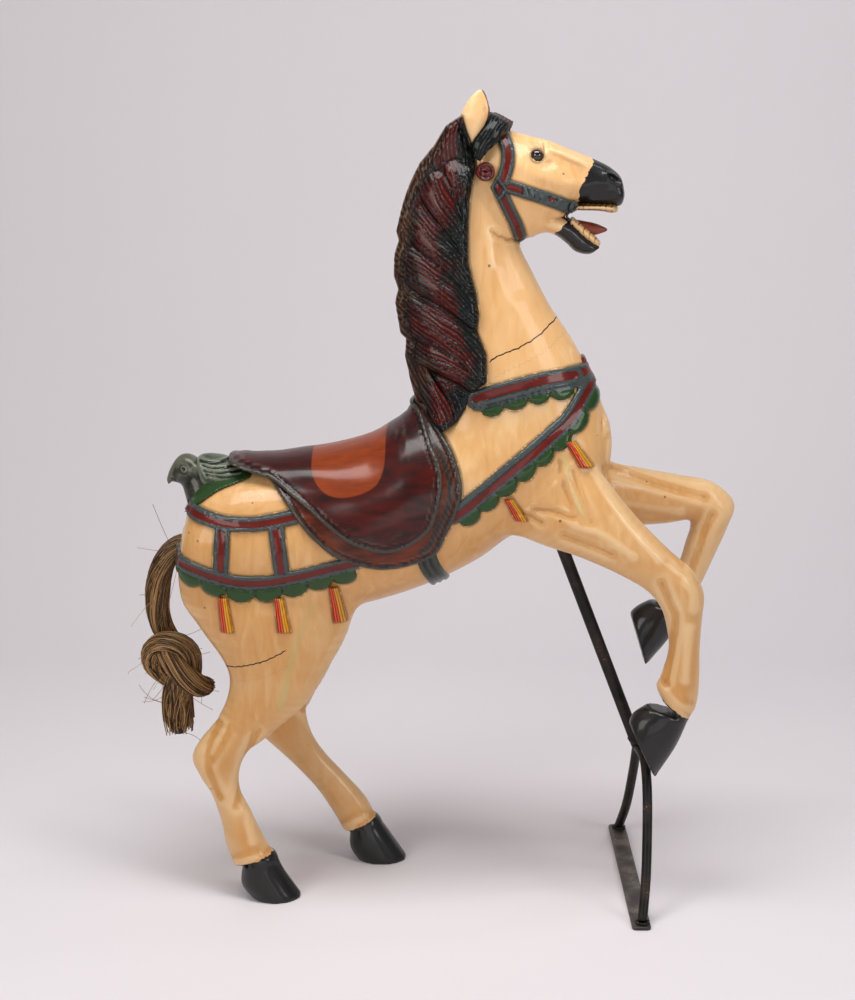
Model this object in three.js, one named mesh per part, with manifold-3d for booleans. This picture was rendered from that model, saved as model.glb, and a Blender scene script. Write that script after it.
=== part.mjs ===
// A rearing carousel horse carved in wood, with saddle and trappings, on a bent steel stand.
// Millimetres, +Z up, +X the way the horse faces, -Y its right side. The origin is on the floor,
// under the middle of the whole.
import * as THREE from "three";
import { mergeVertices } from "three/addons/utils/BufferGeometryUtils.js";
import Module from "manifold-3d";

const wasm = await Module();
wasm.setup();

// Driving dimensions of the stand, from stock bar.
const POST_RADIUS = 10;
const FORK_RADIUS = 8;
const FORK_SIDES = 8;
const PLATE = { x: 325, width: 30, length: 412, thickness: 6, corner: 7 };
const POST_FOOT = [335, 232];
const POST_HEAD = [176, 645];
const FIT_GAP = 0.3;

// How far each carved layer stands proud of the wood under it.
const RELIEF = { strap: 6, tassel: 10, skirt: 8, seat: 14, feathers: 9, mane: 16, bridle: 5 };
const EYE = { x: 152, y: 35, z: 1201, radius: 9.5 };
const THROUGH = 220;

const v3 = (x, y, z) => new THREE.Vector3(x, y, z);
const smooth = (points) => new THREE.CatmullRomCurve3(points, false, "catmullrom", 0.5);
const mirrored = (points) => points.map(([x, y, z]) => [x, -y, z]);

// A closed skin over rings of equal count, each end closed by a fan to the middle of its ring.
function skin(rings) {
  const sides = rings[0].length;
  const position = rings.flat().flatMap((p) => [p.x, p.y, p.z]);
  const index = [];
  for (let r = 0; r + 1 < rings.length; r++) {
    for (let k = 0; k < sides; k++) {
      const a = r * sides + k;
      const b = r * sides + ((k + 1) % sides);
      index.push(a, b, b + sides, a, b + sides, a + sides);
    }
  }
  for (const last of [false, true]) {
    const start = last ? (rings.length - 1) * sides : 0;
    const middle = rings[last ? rings.length - 1 : 0].reduce((sum, p) => sum.add(p), v3(0, 0, 0));
    middle.divideScalar(sides);
    const tip = position.length / 3;
    position.push(middle.x, middle.y, middle.z);
    for (let k = 0; k < sides; k++) {
      const a = start + k;
      const b = start + ((k + 1) % sides);
      index.push(...(last ? [a, b, tip] : [b, a, tip]));
    }
  }
  const geometry = new THREE.BufferGeometry();
  geometry.setAttribute("position", new THREE.Float32BufferAttribute(position, 3));
  geometry.setIndex(index);
  return geometry;
}

// A section across a limb: its upper or front point, its lower or rear point, its half width
// along Y, and how far its middle lies to one side.
const section = (topX, topZ, lowX, lowZ, half, mid = 0) => ({ topX, topZ, lowX, lowZ, half, mid });

// An oval form through sections. side turns the sections' middles to the near or the far side.
function limb(sections, rings, sides, side = 1) {
  const tops = smooth(sections.map((s) => v3(s.topX, 0, s.topZ)));
  const lows = smooth(sections.map((s) => v3(s.lowX, 0, s.lowZ)));
  const wides = smooth(sections.map((s) => v3(s.half, s.mid * side, 0)));
  const skinRings = [];
  for (let r = 0; r <= rings; r++) {
    const top = tops.getPoint(r / rings);
    const low = lows.getPoint(r / rings);
    const wide = wides.getPoint(r / rings);
    const middle = top.clone().add(low).divideScalar(2);
    const reach = top.clone().sub(low).divideScalar(2);
    skinRings.push(
      Array.from({ length: sides }, (_, k) => {
        const turn = (2 * Math.PI * k) / sides;
        const p = middle.clone().addScaledVector(reach, Math.cos(turn));
        p.y = wide.y + wide.x * Math.sin(turn);
        return p;
      }),
    );
  }
  return outward(skin(skinRings));
}

// The enclosed volume tells which way the faces turn, and they are turned to face out.
function outward(geometry) {
  const p = geometry.attributes.position;
  const index = geometry.index.array;
  const [a, b, c] = [v3(0, 0, 0), v3(0, 0, 0), v3(0, 0, 0)];
  let volume = 0;
  for (let i = 0; i < index.length; i += 3) {
    a.fromBufferAttribute(p, index[i]);
    b.fromBufferAttribute(p, index[i + 1]);
    c.fromBufferAttribute(p, index[i + 2]);
    volume += a.dot(b.cross(c));
  }
  if (volume < 0) {
    for (let i = 0; i < index.length; i += 3) [index[i], index[i + 1]] = [index[i + 1], index[i]];
  }
  return geometry;
}

// A copy whose skin stands further out by an even amount.
function grown(geometry, amount) {
  const copy = geometry.clone();
  copy.computeVertexNormals();
  const p = copy.attributes.position;
  const n = copy.attributes.normal;
  for (let i = 0; i < p.count; i++) {
    p.setX(i, p.getX(i) + n.getX(i) * amount);
    p.setY(i, p.getY(i) + n.getY(i) * amount);
    p.setZ(i, p.getZ(i) + n.getZ(i) * amount);
  }
  return copy;
}

// A copy that holds positions alone, with the corners that its faces share merged.
function welded(geometry) {
  const bare = geometry.clone();
  bare.deleteAttribute("normal");
  bare.deleteAttribute("uv");
  return mergeVertices(bare, 1e-4);
}

function solid(geometry) {
  const merged = welded(geometry);
  return new wasm.Manifold(
    new wasm.Mesh({
      numProp: 3,
      vertProperties: merged.attributes.position.array,
      triVerts: new Uint32Array(merged.index.array),
    }),
  );
}

const union = (solids) => solids.reduce((all, one) => all.add(one));

// A plate cut to an outline of [x, z] points and run through the horse from side to side.
function slab(outline, halfDepth = THROUGH) {
  const shape = new THREE.Shape(outline.map(([x, z]) => new THREE.Vector2(x, z)));
  const geometry = new THREE.ExtrudeGeometry(shape, { depth: 2 * halfDepth, bevelEnabled: false });
  geometry.rotateX(Math.PI / 2);
  geometry.translate(0, halfDepth, 0);
  return solid(geometry);
}

// Points along a smooth line through [x, z] points, each moved sideways to its left.
function beside(line, distance, steps) {
  const curve = smooth(line.map(([x, z]) => v3(x, 0, z)));
  return Array.from({ length: steps + 1 }, (_, i) => {
    const p = curve.getPoint(i / steps);
    const t = curve.getTangent(i / steps);
    return [p.x - t.z * distance, p.z + t.x * distance];
  });
}

const lowered = (line, dx, dz) => line.map(([x, z]) => [x + dx, z + dz]);

// The outline of a strap of even width about a line.
function band(line, width, steps) {
  return [...beside(line, width / 2, steps), ...beside(line, -width / 2, steps).reverse()];
}

// The outline of a strap, rise wide, with a row of round scallops that hang from its lower edge.
function scallops(line, count, depth, rise) {
  const lobeSteps = 3;
  const curve = smooth(line.map(([x, z]) => v3(x, 0, z)));
  const hem = beside(line, 0, count * lobeSteps).map(([x, z], i) => {
    const t = curve.getTangent(i / (count * lobeSteps));
    const lobe = Math.sin((Math.PI * (i % lobeSteps)) / lobeSteps);
    const drop = depth * (0.35 + 0.65 * Math.sqrt(lobe));
    return [x + t.z * drop, z - t.x * drop];
  });
  return [...beside(line, rise, Math.ceil(count / 2)), ...hem.reverse()];
}

// The masses of the body. The thighs and the arms run on into it and are joined later.
const TRUNK = [
  section(-404, 628, -420, 548, 45),
  section(-394, 660, -412, 510, 82),
  section(-366, 690, -385, 482, 105),
  section(-310, 706, -320, 470, 116),
  section(-240, 714, -220, 470, 121),
  section(-165, 727, -137, 480, 124),
  section(-95, 751, -60, 501, 125),
  section(-40, 785, 5, 526, 122),
  section(25, 800, 69, 560, 116),
  section(105, 800, 125, 600, 107),
  section(185, 795, 190, 615, 90),
  section(240, 780, 240, 645, 62),
  section(264, 755, 262, 690, 28),
];
const NECK = [
  section(112, 1110, 10, 1218, 40),
  section(128, 1062, -20, 1168, 45),
  section(148, 1022, -40, 1095, 50),
  section(177, 968, -48, 1015, 58),
  section(210, 919, -46, 930, 68),
  section(240, 865, -36, 860, 80),
  section(264, 806, -25, 800, 86),
  section(274, 743, -5, 740, 88),
  section(266, 690, 30, 690, 70),
];
const HEAD = [
  section(50, 1222, 62, 1130, 36),
  section(85, 1246, 100, 1082, 49),
  section(115, 1237, 130, 1071, 53),
  section(145, 1229, 160, 1080, 51),
  section(176, 1221, 190, 1098, 45),
  section(206, 1209, 214, 1120, 39),
  section(236, 1197, 241, 1119, 35),
  section(262, 1184, 263, 1119, 33),
  section(280, 1168, 278, 1120, 28),
  section(288, 1150, 284, 1128, 16),
];
const JAW = [
  section(140, 1125, 140, 1084, 36),
  section(180, 1112, 178, 1080, 32),
  section(210, 1098, 200, 1066, 27),
  section(232, 1078, 216, 1052, 24),
  section(247, 1066, 236, 1048, 21),
  section(255, 1062, 251, 1055, 13),
];

// Each leg from the body down to the coronet of its hoof.
const NEAR_HIND = [
  section(-165, 600, -395, 600, 40, 42),
  section(-134, 510, -412, 512, 58, 52),
  section(-144, 448, -385, 462, 56, 58),
  section(-178, 385, -343, 400, 46, 64),
  section(-213, 330, -335, 360, 38, 68),
  section(-262, 286, -352, 312, 30, 71),
  section(-306, 248, -396, 250, 27, 74),
  section(-321, 214, -387, 212, 24, 76),
  section(-316, 175, -367, 178, 21, 77),
  section(-298, 132, -353, 132, 21, 78),
  section(-280, 95, -346, 92, 25, 78),
  section(-270, 76, -332, 56, 27, 78),
];
const FAR_HIND = [
  section(-165, 600, -395, 600, 40, 42),
  section(-132, 510, -410, 512, 58, 52),
  section(-140, 448, -382, 462, 56, 58),
  section(-165, 385, -340, 400, 46, 64),
  section(-188, 335, -324, 355, 38, 68),
  section(-212, 292, -318, 302, 30, 71),
  section(-221, 262, -322, 248, 27, 73),
  section(-213, 226, -290, 216, 24, 74),
  section(-190, 189, -247, 174, 21, 75),
  section(-157, 152, -206, 128, 21, 75),
  section(-122, 110, -178, 84, 25, 75),
  section(-106, 77, -158, 50, 27, 75),
];
const NEAR_FORE = [
  section(230, 745, 105, 620, 40, 58),
  section(273, 693, 165, 597, 42, 70),
  section(318, 640, 225, 579, 38, 79),
  section(362, 597, 285, 553, 33, 84),
  section(400, 563, 330, 527, 30, 86),
  section(422, 524, 353, 501, 29, 86),
  section(421, 480, 364, 470, 25, 86),
  section(419, 430, 367, 430, 22, 86),
  section(420, 380, 358, 388, 24, 86),
  section(417, 340, 353, 366, 26, 86),
  section(403, 311, 361, 343, 26, 86),
];
const FAR_FORE = [
  section(225, 755, 110, 620, 40, 58),
  section(280, 708, 240, 590, 42, 70),
  section(336, 690, 325, 592, 37, 79),
  section(403, 676, 382, 595, 33, 84),
  section(455, 665, 418, 600, 30, 86),
  section(494, 630, 422, 585, 29, 86),
  section(484, 588, 415, 560, 26, 86),
  section(466, 543, 407, 530, 23, 86),
  section(447, 498, 392, 493, 24, 86),
  section(430, 460, 377, 474, 26, 86),
  section(416, 432, 370, 458, 26, 86),
];

// A hoof from its coronet to its flat sole, given by front and rear points.
function hoof(coronet, sole, side) {
  const [front, rear, half, mid] = coronet;
  const [toe, heel, spread] = sole;
  const between = (a, b, t) => a.map((c, i) => THREE.MathUtils.lerp(c, b[i], t));
  const sections = [
    section(...front, ...rear, half, mid),
    section(...between(front, toe, 0.45), ...between(rear, heel, 0.5), (half + spread) / 2, mid),
    section(...toe, ...heel, spread, mid),
  ];
  return limb(sections, 2, 12, side);
}
const HOOVES = [
  hoof([[-268, 80], [-334, 56], 29, 78], [[-224, 0], [-312, 0], 36], -1),
  hoof([[-104, 80], [-160, 50], 29, 75], [[-52, 0], [-140, 0], 36], 1),
  hoof([[405, 314], [357, 350], 28, 86], [[349, 222], [311, 314], 35], -1),
  hoof([[418, 436], [366, 464], 28, 86], [[353, 348], [329, 440], 35], 1),
];

const forms = {
  trunk: limb(TRUNK, 10, 14),
  neck: limb(NECK, 7, 12),
  head: limb(HEAD, 10, 12),
  jaw: limb(JAW, 5, 8),
  nearHind: limb(NEAR_HIND, 11, 8, -1),
  farHind: limb(FAR_HIND, 11, 8, 1),
  nearFore: limb(NEAR_FORE, 11, 8, -1),
  farFore: limb(FAR_FORE, 11, 8, 1),
};

// What straps and saddle lie on, swollen by the height of their relief.
const swollen = (parts, amount) => union(parts.map((g) => solid(grown(g, amount))));
const { trunk, neck, head, jaw, nearHind, farHind } = forms;
const barrel = (amount) => swollen([trunk, neck, nearHind, farHind], amount);
const face = (amount) => swollen([head, jaw], amount);

// The saddle: a skirt, and on it the raised seat.
const SKIRT_EDGE = [
  [-334, 738], [-300, 708], [-262, 702], [-235, 686], [-212, 650], [-182, 615], [-143, 586], [-105, 570],
  [-66, 568], [-27, 580], [4, 602], [28, 634], [38, 674], [34, 713], [17, 753], [0, 792], [-22, 835],
];
const SEAT_EDGE = [
  [-332, 738], [-292, 712], [-258, 704], [-227, 681], [-182, 649], [-135, 617], [-97, 601], [-58, 601],
  [-27, 622], [-8, 657], [-3, 697], [-11, 755], [-24, 795], [-40, 825],
];
const over = (edge) => [...beside(edge, 0, 16), [-60, 860], [-330, 800]];
const saddle = [
  barrel(RELIEF.skirt).intersect(slab(over(SKIRT_EDGE))),
  barrel(RELIEF.seat).intersect(slab(over(SEAT_EDGE))),
];

// Straps, as lines of [x, z] points with a width.
const CRUPPER_HEM = [
  [-428, 600], [-408, 583], [-372, 560], [-330, 541], [-270, 541], [-207, 551], [-130, 570],
];
const BREAST_HEM = [[240, 858], [201, 806], [160, 761], [114, 715], [75, 681], [38, 657]];
const COLLAR = [[205, 868], [262, 870]];
const STRAPS = [
  band([[-422, 653], [-400, 645], [-363, 638], [-308, 632], [-246, 634], [-218, 643]], 17, 4),
  band([[-338, 634], [-343, 550]], 22, 1),
  band([[-253, 634], [-247, 548]], 23, 1),
  band(COLLAR, 27, 1),
  band([[-22, 610], [-12, 560], [8, 520], [16, 480]], 33, 2),
];
const HEMS = [
  scallops(lowered(CRUPPER_HEM, 0, -8), 8, 26, 18),
  scallops([[60, 831], [97, 838], [159, 848], [216, 850]], 4, 26, 29),
  scallops(lowered(BREAST_HEM, 9, -9).reverse(), 8, 22, 26),
];
// Tassels hang from a top edge to a wider foot.
const tassel = (x, z, leanX, drop, width) => [
  [x - width / 2, z],
  [x + width / 2, z],
  [x + leanX + width * 0.7, z - drop],
  [x + leanX - width * 0.7, z - drop],
];
const TASSELS = [
  tassel(-336, 514, 6, 52, 17),
  tassel(-250, 516, 10, 54, 17),
  tassel(-164, 528, 11, 48, 17),
  tassel(210, 760, 27, 38, 17),
  tassel(113, 671, 18, 36, 15),
];
const raised = (outlines, amount) => outlines.map((outline) => barrel(amount).intersect(slab(outline)));
const trappings = [
  ...raised([...STRAPS, ...HEMS], RELIEF.strap),
  ...raised(TASSELS, RELIEF.tassel),
  barrel(RELIEF.strap).intersect(slab([[205, 868], [221, 904], [246, 904], [262, 868]], 18)),
];

// The carved bird's head behind the seat, with its feathers laid over the croup.
const BIRD_HEAD = [
  section(-345, 724, -352, 690, 22),
  section(-372, 726, -372, 676, 24),
  section(-398, 728, -392, 668, 23),
  section(-416, 724, -406, 674, 19),
  section(-428, 709, -416, 682, 13),
  section(-437, 692, -430, 682, 7),
  section(-436, 682, -432, 678, 3),
];
const FEATHERS = [
  [-440, 640], [-400, 640], [-372, 652], [-345, 674], [-292, 704], [-335, 742], [-400, 742],
];
const cantle = [solid(limb(BIRD_HEAD, 6, 7)), barrel(RELIEF.feathers).intersect(slab(FEATHERS))];

// Where the neck's side lies at a height: front, rear and half width, between its sections.
function neckAt(z) {
  const heights = NECK.map((s) => (s.topZ + s.lowZ) / 2);
  const lower = heights.findIndex((height) => height < z);
  const next = lower < 0 ? NECK.length - 1 : Math.max(1, lower);
  const t = THREE.MathUtils.clamp((heights[next - 1] - z) / (heights[next - 1] - heights[next]), 0, 1);
  const mix = (key) => THREE.MathUtils.lerp(NECK[next - 1][key], NECK[next][key], t);
  return { front: mix("topX"), rear: mix("lowX"), half: mix("half") };
}

// A lock of hair laid on the side of the neck: a low rounded ridge along a line of [x, z] points.
function lock(line, width, side) {
  const curve = smooth(line.map(([x, z]) => v3(x, 0, z)));
  const steps = 3;
  const rings = Array.from({ length: steps + 1 }, (_, i) => {
    const t = i / steps;
    const p = curve.getPoint(t);
    const along = curve.getTangent(t);
    const { front, rear, half } = neckAt(p.z);
    const middle = (front + rear) / 2;
    const radius = (front - rear) / 2;
    const aside = THREE.MathUtils.clamp((p.x - middle) / radius, -0.985, 0.985);
    const turn = Math.acos(aside);
    const out = v3(Math.cos(turn) / radius, (side * Math.sin(turn)) / half, 0).normalize();
    const base = v3(p.x, side * half * Math.sin(turn), p.z);
    const across = along.clone().cross(out).normalize();
    const swell = width * (0.2 + 0.8 * Math.sin(Math.PI * (0.12 + 0.76 * t)));
    const crest = RELIEF.mane + 7 * Math.sin(Math.PI * (0.15 + 0.7 * t));
    return [
      [-0.5, RELIEF.mane - 5],
      [-0.12, crest],
      [0.5, RELIEF.mane - 6],
      [0, 0],
    ].map(([a, h]) => base.clone().addScaledVector(across, a * swell).addScaledVector(out, h));
  });
  return solid(outward(skin(rings)));
}

// The mane: a thick mass round the crest of the neck, and the locks that sweep down over it.
const MANE_EDGE = [
  [38, 1254], [13, 1240], [-10, 1214], [-31, 1187], [-46, 1158], [-58, 1128], [-64, 1092], [-70, 1042],
  [-66, 995], [-68, 965], [-58, 925], [-50, 903], [-44, 870], [-38, 825], [9, 768], [32, 800], [52, 834],
  [78, 860], [80, 878], [73, 914], [64, 953], [56, 996], [50, 1030], [44, 1070], [52, 1136],
  [54, 1170], [50, 1215],
];
const LOCK_WIDTH = 54;
const LOCKS = [
  [[-2, 1216], [14, 1194], [34, 1152], [45, 1100]],
  [[-34, 1176], [-16, 1150], [14, 1098], [44, 1044]],
  [[-50, 1116], [-34, 1088], [2, 1040], [50, 992]],
  [[-53, 1060], [-36, 1030], [6, 984], [58, 940]],
  [[-53, 1002], [-36, 972], [14, 928], [70, 892]],
  [[-50, 946], [-32, 916], [16, 878], [66, 852]],
  [[-44, 898], [-26, 862], [2, 822], [22, 796]],
];
const mane = [
  solid(grown(forms.neck, RELIEF.mane)).intersect(slab(MANE_EDGE)),
  ...[-1, 1].flatMap((side) => LOCKS.map((line) => lock(line, LOCK_WIDTH, side))),
];

// Ears, forelock, teeth and tongue.
const EAR = [
  section(66, 1212, 46, 1216, 10, 36),
  section(80, 1246, 39, 1242, 15, 38),
  section(79, 1268, 44, 1270, 12, 41),
  section(72, 1289, 57, 1290, 7, 43),
  section(66, 1300, 63, 1300, 2, 44),
];
const EAR_HOLLOW = [
  section(92, 1232, 66, 1236, 6, 40),
  section(94, 1250, 60, 1250, 9, 43),
  section(90, 1270, 62, 1272, 7, 45),
  section(78, 1288, 66, 1289, 3, 46),
];
const FORELOCK = [
  section(48, 1238, 46, 1206, 34),
  section(78, 1256, 72, 1214, 36),
  section(100, 1254, 92, 1226, 30),
  section(120, 1242, 114, 1232, 20),
];
const TEETH = [
  section(222, 1126, 224, 1116, 24),
  section(250, 1124, 250, 1112, 26),
  section(272, 1124, 272, 1110, 22),
  section(279, 1122, 279, 1112, 12),
];
const LOWER_TEETH = [
  section(218, 1106, 210, 1090, 20),
  section(236, 1086, 226, 1072, 19),
  section(250, 1070, 243, 1060, 17),
  section(256, 1064, 250, 1056, 10),
];
const TONGUE = [
  section(200, 1112, 196, 1096, 14),
  section(226, 1104, 222, 1090, 14),
  section(250, 1095, 246, 1080, 13),
  section(266, 1087, 259, 1074, 8),
];
const ears = [-1, 1].map((side) => {
  const hollow = solid(limb(EAR_HOLLOW, 3, 5, side));
  return solid(limb(EAR, 4, 7, side)).subtract(hollow);
});
const mouth = [TEETH, LOWER_TEETH, TONGUE].map((sections) => solid(limb(sections, 3, 7)));

// Bridle: straps on the head, a diamond keeper, and a round rosette on each side.
const BRIDLE = [
  band([[84, 1262], [97, 1232], [112, 1208], [114, 1186], [104, 1160]], 15, 4),
  band([[98, 1158], [150, 1146], [190, 1132], [218, 1123]], 16, 2),
  band([[92, 1150], [108, 1110], [132, 1062]], 17, 1),
  [[90, 1175], [109, 1153], [95, 1132], [79, 1156]],
];
const rosette = (side) => {
  const disc = new THREE.CylinderGeometry(12, 15, 26, 12);
  disc.rotateX((side * Math.PI) / 2);
  disc.translate(74, side * 46, 1180);
  return solid(disc);
};
const bridle = [
  ...BRIDLE.map((outline) => face(RELIEF.bridle).intersect(slab(outline))),
  rosette(-1),
  rosette(1),
];

// Bores and sockets: the post's, the tail's and the eyes', a little wider than what they hold.
function bar(from, to, radius, sides) {
  const axis = to.clone().sub(from);
  const cylinder = new THREE.CylinderGeometry(radius, radius, axis.length(), sides);
  const turn = new THREE.Quaternion().setFromUnitVectors(v3(0, 1, 0), axis.normalize());
  cylinder.applyQuaternion(turn);
  const middle = from.clone().add(to).divideScalar(2);
  cylinder.translate(middle.x, middle.y, middle.z);
  return cylinder;
}
const postFoot = v3(POST_FOOT[0], 0, POST_FOOT[1]);
const postHead = v3(POST_HEAD[0], 0, POST_HEAD[1]);
const postLine = postHead.clone().sub(postFoot).normalize();
const postStart = postFoot.clone().addScaledVector(postLine, FORK_RADIUS + 2 * FIT_GAP);
const boreEnd = postHead.clone().addScaledVector(postLine, FIT_GAP);
const postBore = bar(postStart, boreEnd, POST_RADIUS + FIT_GAP, 12);
const eyeball = (side, extra) => {
  const ball = new THREE.SphereGeometry(EYE.radius + extra, 9, 6);
  ball.translate(EYE.x, side * EYE.y, EYE.z);
  return ball;
};

// The tail: a hank of hair with an overhand knot, as strands of changing thickness.
const TAIL_ROOT = [[-400, 0, 582, 11], [-428, 0, 580, 12], [-446, 0, 560, 14], [-456, 0, 525, 14.5]];
const KNOT = [-430, -14, 396, 14];
const TAIL = [
  [...TAIL_ROOT, [-459, 0, 488, 13], [-455, 0, 452, 13], [-447, -4, 424, 14], KNOT],
  [KNOT, [-408, -18, 368, 15], [-392, -8, 346, 15], [-396, 6, 334, 14], [-418, 12, 346, 13]],
  [KNOT, [-466, -16, 378, 13], [-474, 0, 400, 14], [-462, 14, 420, 13], [-436, 12, 408, 12]],
  [[-430, 10, 400, 14], [-426, 8, 360, 14], [-424, 2, 320, 15], [-426, 0, 285, 17], [-430, 0, 252, 12]],
];
// A round tube through [x, y, z, radius] points.
function strand(points, extra, stepsEach, sides) {
  const path = smooth(points.map(([x, y, z]) => v3(x, y, z)));
  const girth = smooth(points.map((p) => v3(p[3] + extra, 0, 0)));
  const steps = stepsEach * (points.length - 1);
  const rings = Array.from({ length: steps + 1 }, (_, i) => {
    const p = path.getPoint(i / steps);
    const t = path.getTangent(i / steps);
    const across = v3(0, 1, 0).cross(t).normalize();
    const up = t.clone().cross(across).normalize();
    const r = girth.getPoint(i / steps).x;
    return Array.from({ length: sides }, (_, k) => {
      const turn = (2 * Math.PI * k) / sides;
      return p.clone().addScaledVector(across, r * Math.cos(turn)).addScaledVector(up, r * Math.sin(turn));
    });
  });
  return solid(outward(skin(rings)));
}
const tail = union(TAIL.map((points) => strand(points, 0, 2, 5)));
const tailBore = strand(TAIL[0], 2 * FIT_GAP, 2, 5);

const body = [...Object.values(forms), ...HOOVES].map(solid);
const forelock = solid(limb(FORELOCK, 3, 8));
const carving = [...saddle, ...trappings, ...cantle, ...mane, ...ears, forelock, ...mouth, ...bridle];
const sockets = [-1, 1].map((side) => solid(eyeball(side, FIT_GAP)));
const horse = union([...body, ...carving]).subtract(union([solid(postBore), tailBore, ...sockets]));

// The stand: the fork is one rod, bent over the post's foot and down to both ends of the plate.
const FORK_HALF = [[335, 0, 232], [341, 42, 226], [342, 78, 198], [341, 106, 150], [336, 150, 70]];
const forkFoot = [327, 190, PLATE.thickness + FIT_GAP];
const forkSide = [...FORK_HALF.slice(1), forkFoot];
const forkPath = smooth([...mirrored(forkSide).reverse(), FORK_HALF[0], ...forkSide].map((p) => v3(...p)));
const roundSection = new THREE.Shape(
  Array.from({ length: FORK_SIDES }, (_, k) => {
    const turn = (2 * Math.PI * k) / FORK_SIDES;
    return new THREE.Vector2(FORK_RADIUS * Math.cos(turn), FORK_RADIUS * Math.sin(turn));
  }),
);
const forkRod = new THREE.ExtrudeGeometry(roundSection, {
  steps: 12,
  extrudePath: forkPath,
  bevelEnabled: false,
});
const belowPlate = new THREE.BoxGeometry(200, 500, 40);
belowPlate.translate(PLATE.x, 0, PLATE.thickness + FIT_GAP - 20);
const fork = solid(outward(welded(forkRod))).subtract(solid(belowPlate));

function footPlate() {
  const { x, width, length, thickness, corner } = PLATE;
  const shape = new THREE.Shape();
  [[1, 1], [-1, 1], [-1, -1], [1, -1]].forEach(([alongX, alongY], quarter) => {
    const start = (quarter * Math.PI) / 2;
    const cx = alongX * (width / 2 - corner);
    const cy = alongY * (length / 2 - corner);
    shape.absarc(cx, cy, corner, start, start + Math.PI / 2, false);
  });
  const plate = new THREE.ExtrudeGeometry(shape, {
    depth: thickness,
    bevelEnabled: false,
    curveSegments: 3,
  });
  plate.translate(x, 0, 0);
  return plate;
}

function geometryOf(manifold) {
  const mesh = manifold.getMesh();
  const geometry = new THREE.BufferGeometry();
  geometry.setAttribute("position", new THREE.BufferAttribute(mesh.vertProperties, 3));
  geometry.setIndex(new THREE.BufferAttribute(mesh.triVerts, 1));
  return geometry;
}

const finish = (color, roughness, metalness) =>
  new THREE.MeshStandardMaterial({ color, roughness, metalness });
const PAINTED_WOOD = finish(0xe0b070, 0.35, 0);
const GLASS = finish(0x1a0f08, 0.05, 0);
const HORSEHAIR = finish(0x5a4632, 0.8, 0);
const DARK_STEEL = finish(0x35312d, 0.55, 0.8);

const group = new THREE.Group();
function addMesh(name, geometry, material) {
  const mesh = new THREE.Mesh(geometry, material);
  mesh.name = name;
  group.add(mesh);
}
addMesh("carved_horse", geometryOf(horse), PAINTED_WOOD);
addMesh("glass_eye_near", eyeball(-1, 0), GLASS);
addMesh("glass_eye_far", eyeball(1, 0), GLASS);
addMesh("horsehair_tail", geometryOf(tail), HORSEHAIR);
addMesh("stand_post", bar(postStart, postHead, POST_RADIUS, 12), DARK_STEEL);
addMesh("stand_fork", geometryOf(fork), DARK_STEEL);
addMesh("stand_foot_plate", footPlate(), DARK_STEEL);

export default group;
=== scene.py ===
"""Looks of a rearing carousel horse: carved and painted wood, glass eyes, a hair tail and a steel stand.

Lengths in the tables are millimetres in the frame of the solids: +X the way the horse faces, +Z up,
-Y the near side, which is the horse's right. Meshes are made in metres.
"""

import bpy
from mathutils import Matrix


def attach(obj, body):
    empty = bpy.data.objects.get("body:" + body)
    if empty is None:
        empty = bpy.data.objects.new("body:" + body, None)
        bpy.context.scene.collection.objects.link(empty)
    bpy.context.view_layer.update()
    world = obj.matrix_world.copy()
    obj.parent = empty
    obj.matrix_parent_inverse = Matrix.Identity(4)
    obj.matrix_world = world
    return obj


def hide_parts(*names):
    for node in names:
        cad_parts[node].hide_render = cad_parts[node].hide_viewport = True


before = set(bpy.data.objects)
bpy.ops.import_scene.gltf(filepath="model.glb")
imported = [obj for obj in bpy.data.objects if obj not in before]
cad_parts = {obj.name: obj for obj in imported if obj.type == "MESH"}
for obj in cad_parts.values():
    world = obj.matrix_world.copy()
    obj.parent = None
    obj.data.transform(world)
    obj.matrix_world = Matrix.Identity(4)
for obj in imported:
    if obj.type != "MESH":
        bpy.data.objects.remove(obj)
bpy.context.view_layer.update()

import logging
import math
from dataclasses import dataclass, field
from enum import Enum

import bpy
import numpy as np

logging.basicConfig(level=logging.INFO, format="%(message)s")
log = logging.getLogger("carousel_horse")

MM = 0.001
FAR_OFF = 70.0
NO_WOOD = 99.0  # the wood's distance where its samples aren't used
NONE_NEAR = 60.0  # a paint measure where no edge is near
NONE_HERE = -9.0  # a paint measure of a mesh without what it marks
COARSER = 1.0


# ---------------------------------------------------------------------------
# Shapes
# ---------------------------------------------------------------------------


class Side(Enum):
    """The side of the horse that a carved mark lies on."""

    BOTH = 0
    NEAR = -1
    FAR = 1


def smooth_line(points: np.ndarray, count: int) -> np.ndarray:
    """Points along a uniform Catmull-Rom curve.

    Between b and c the cubic has the slopes (c - a) / 2 and (d - b) / 2; the ends are drawn out straight.

    Args:
        points: Control points, one a row.
        count: How many points to give.

    Returns:
        The points, evenly spaced in the curve's own measure.
    """
    p = np.asarray(points, float)
    p = np.vstack([2 * p[0] - p[1], p, 2 * p[-1] - p[-2]])
    t = np.linspace(0, len(points) - 1, count)
    i = np.minimum(t.astype(int), len(points) - 2)
    f = (t - i)[:, None]
    a, b, c, d = p[i], p[i + 1], p[i + 2], p[i + 3]
    return 0.5 * (2 * b + (c - a) * f + (2 * a - 5 * b + 4 * c - d) * f**2 + (3 * b - a - 3 * c + d) * f**3)


def blend(a: np.ndarray, b: np.ndarray, width: float) -> np.ndarray:
    """The lesser of two distances, with a fillet: less h squared times width / 4, h = 1 - |a - b| / width."""
    h = np.maximum(width - np.abs(a - b), 0) / width
    return np.minimum(a, b) - h * h * width * 0.25


def bell(t: np.ndarray, width: float) -> np.ndarray:
    """A rounded bump: exp(-(t / width) squared)."""
    return np.exp(-((t / width) ** 2))


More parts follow.
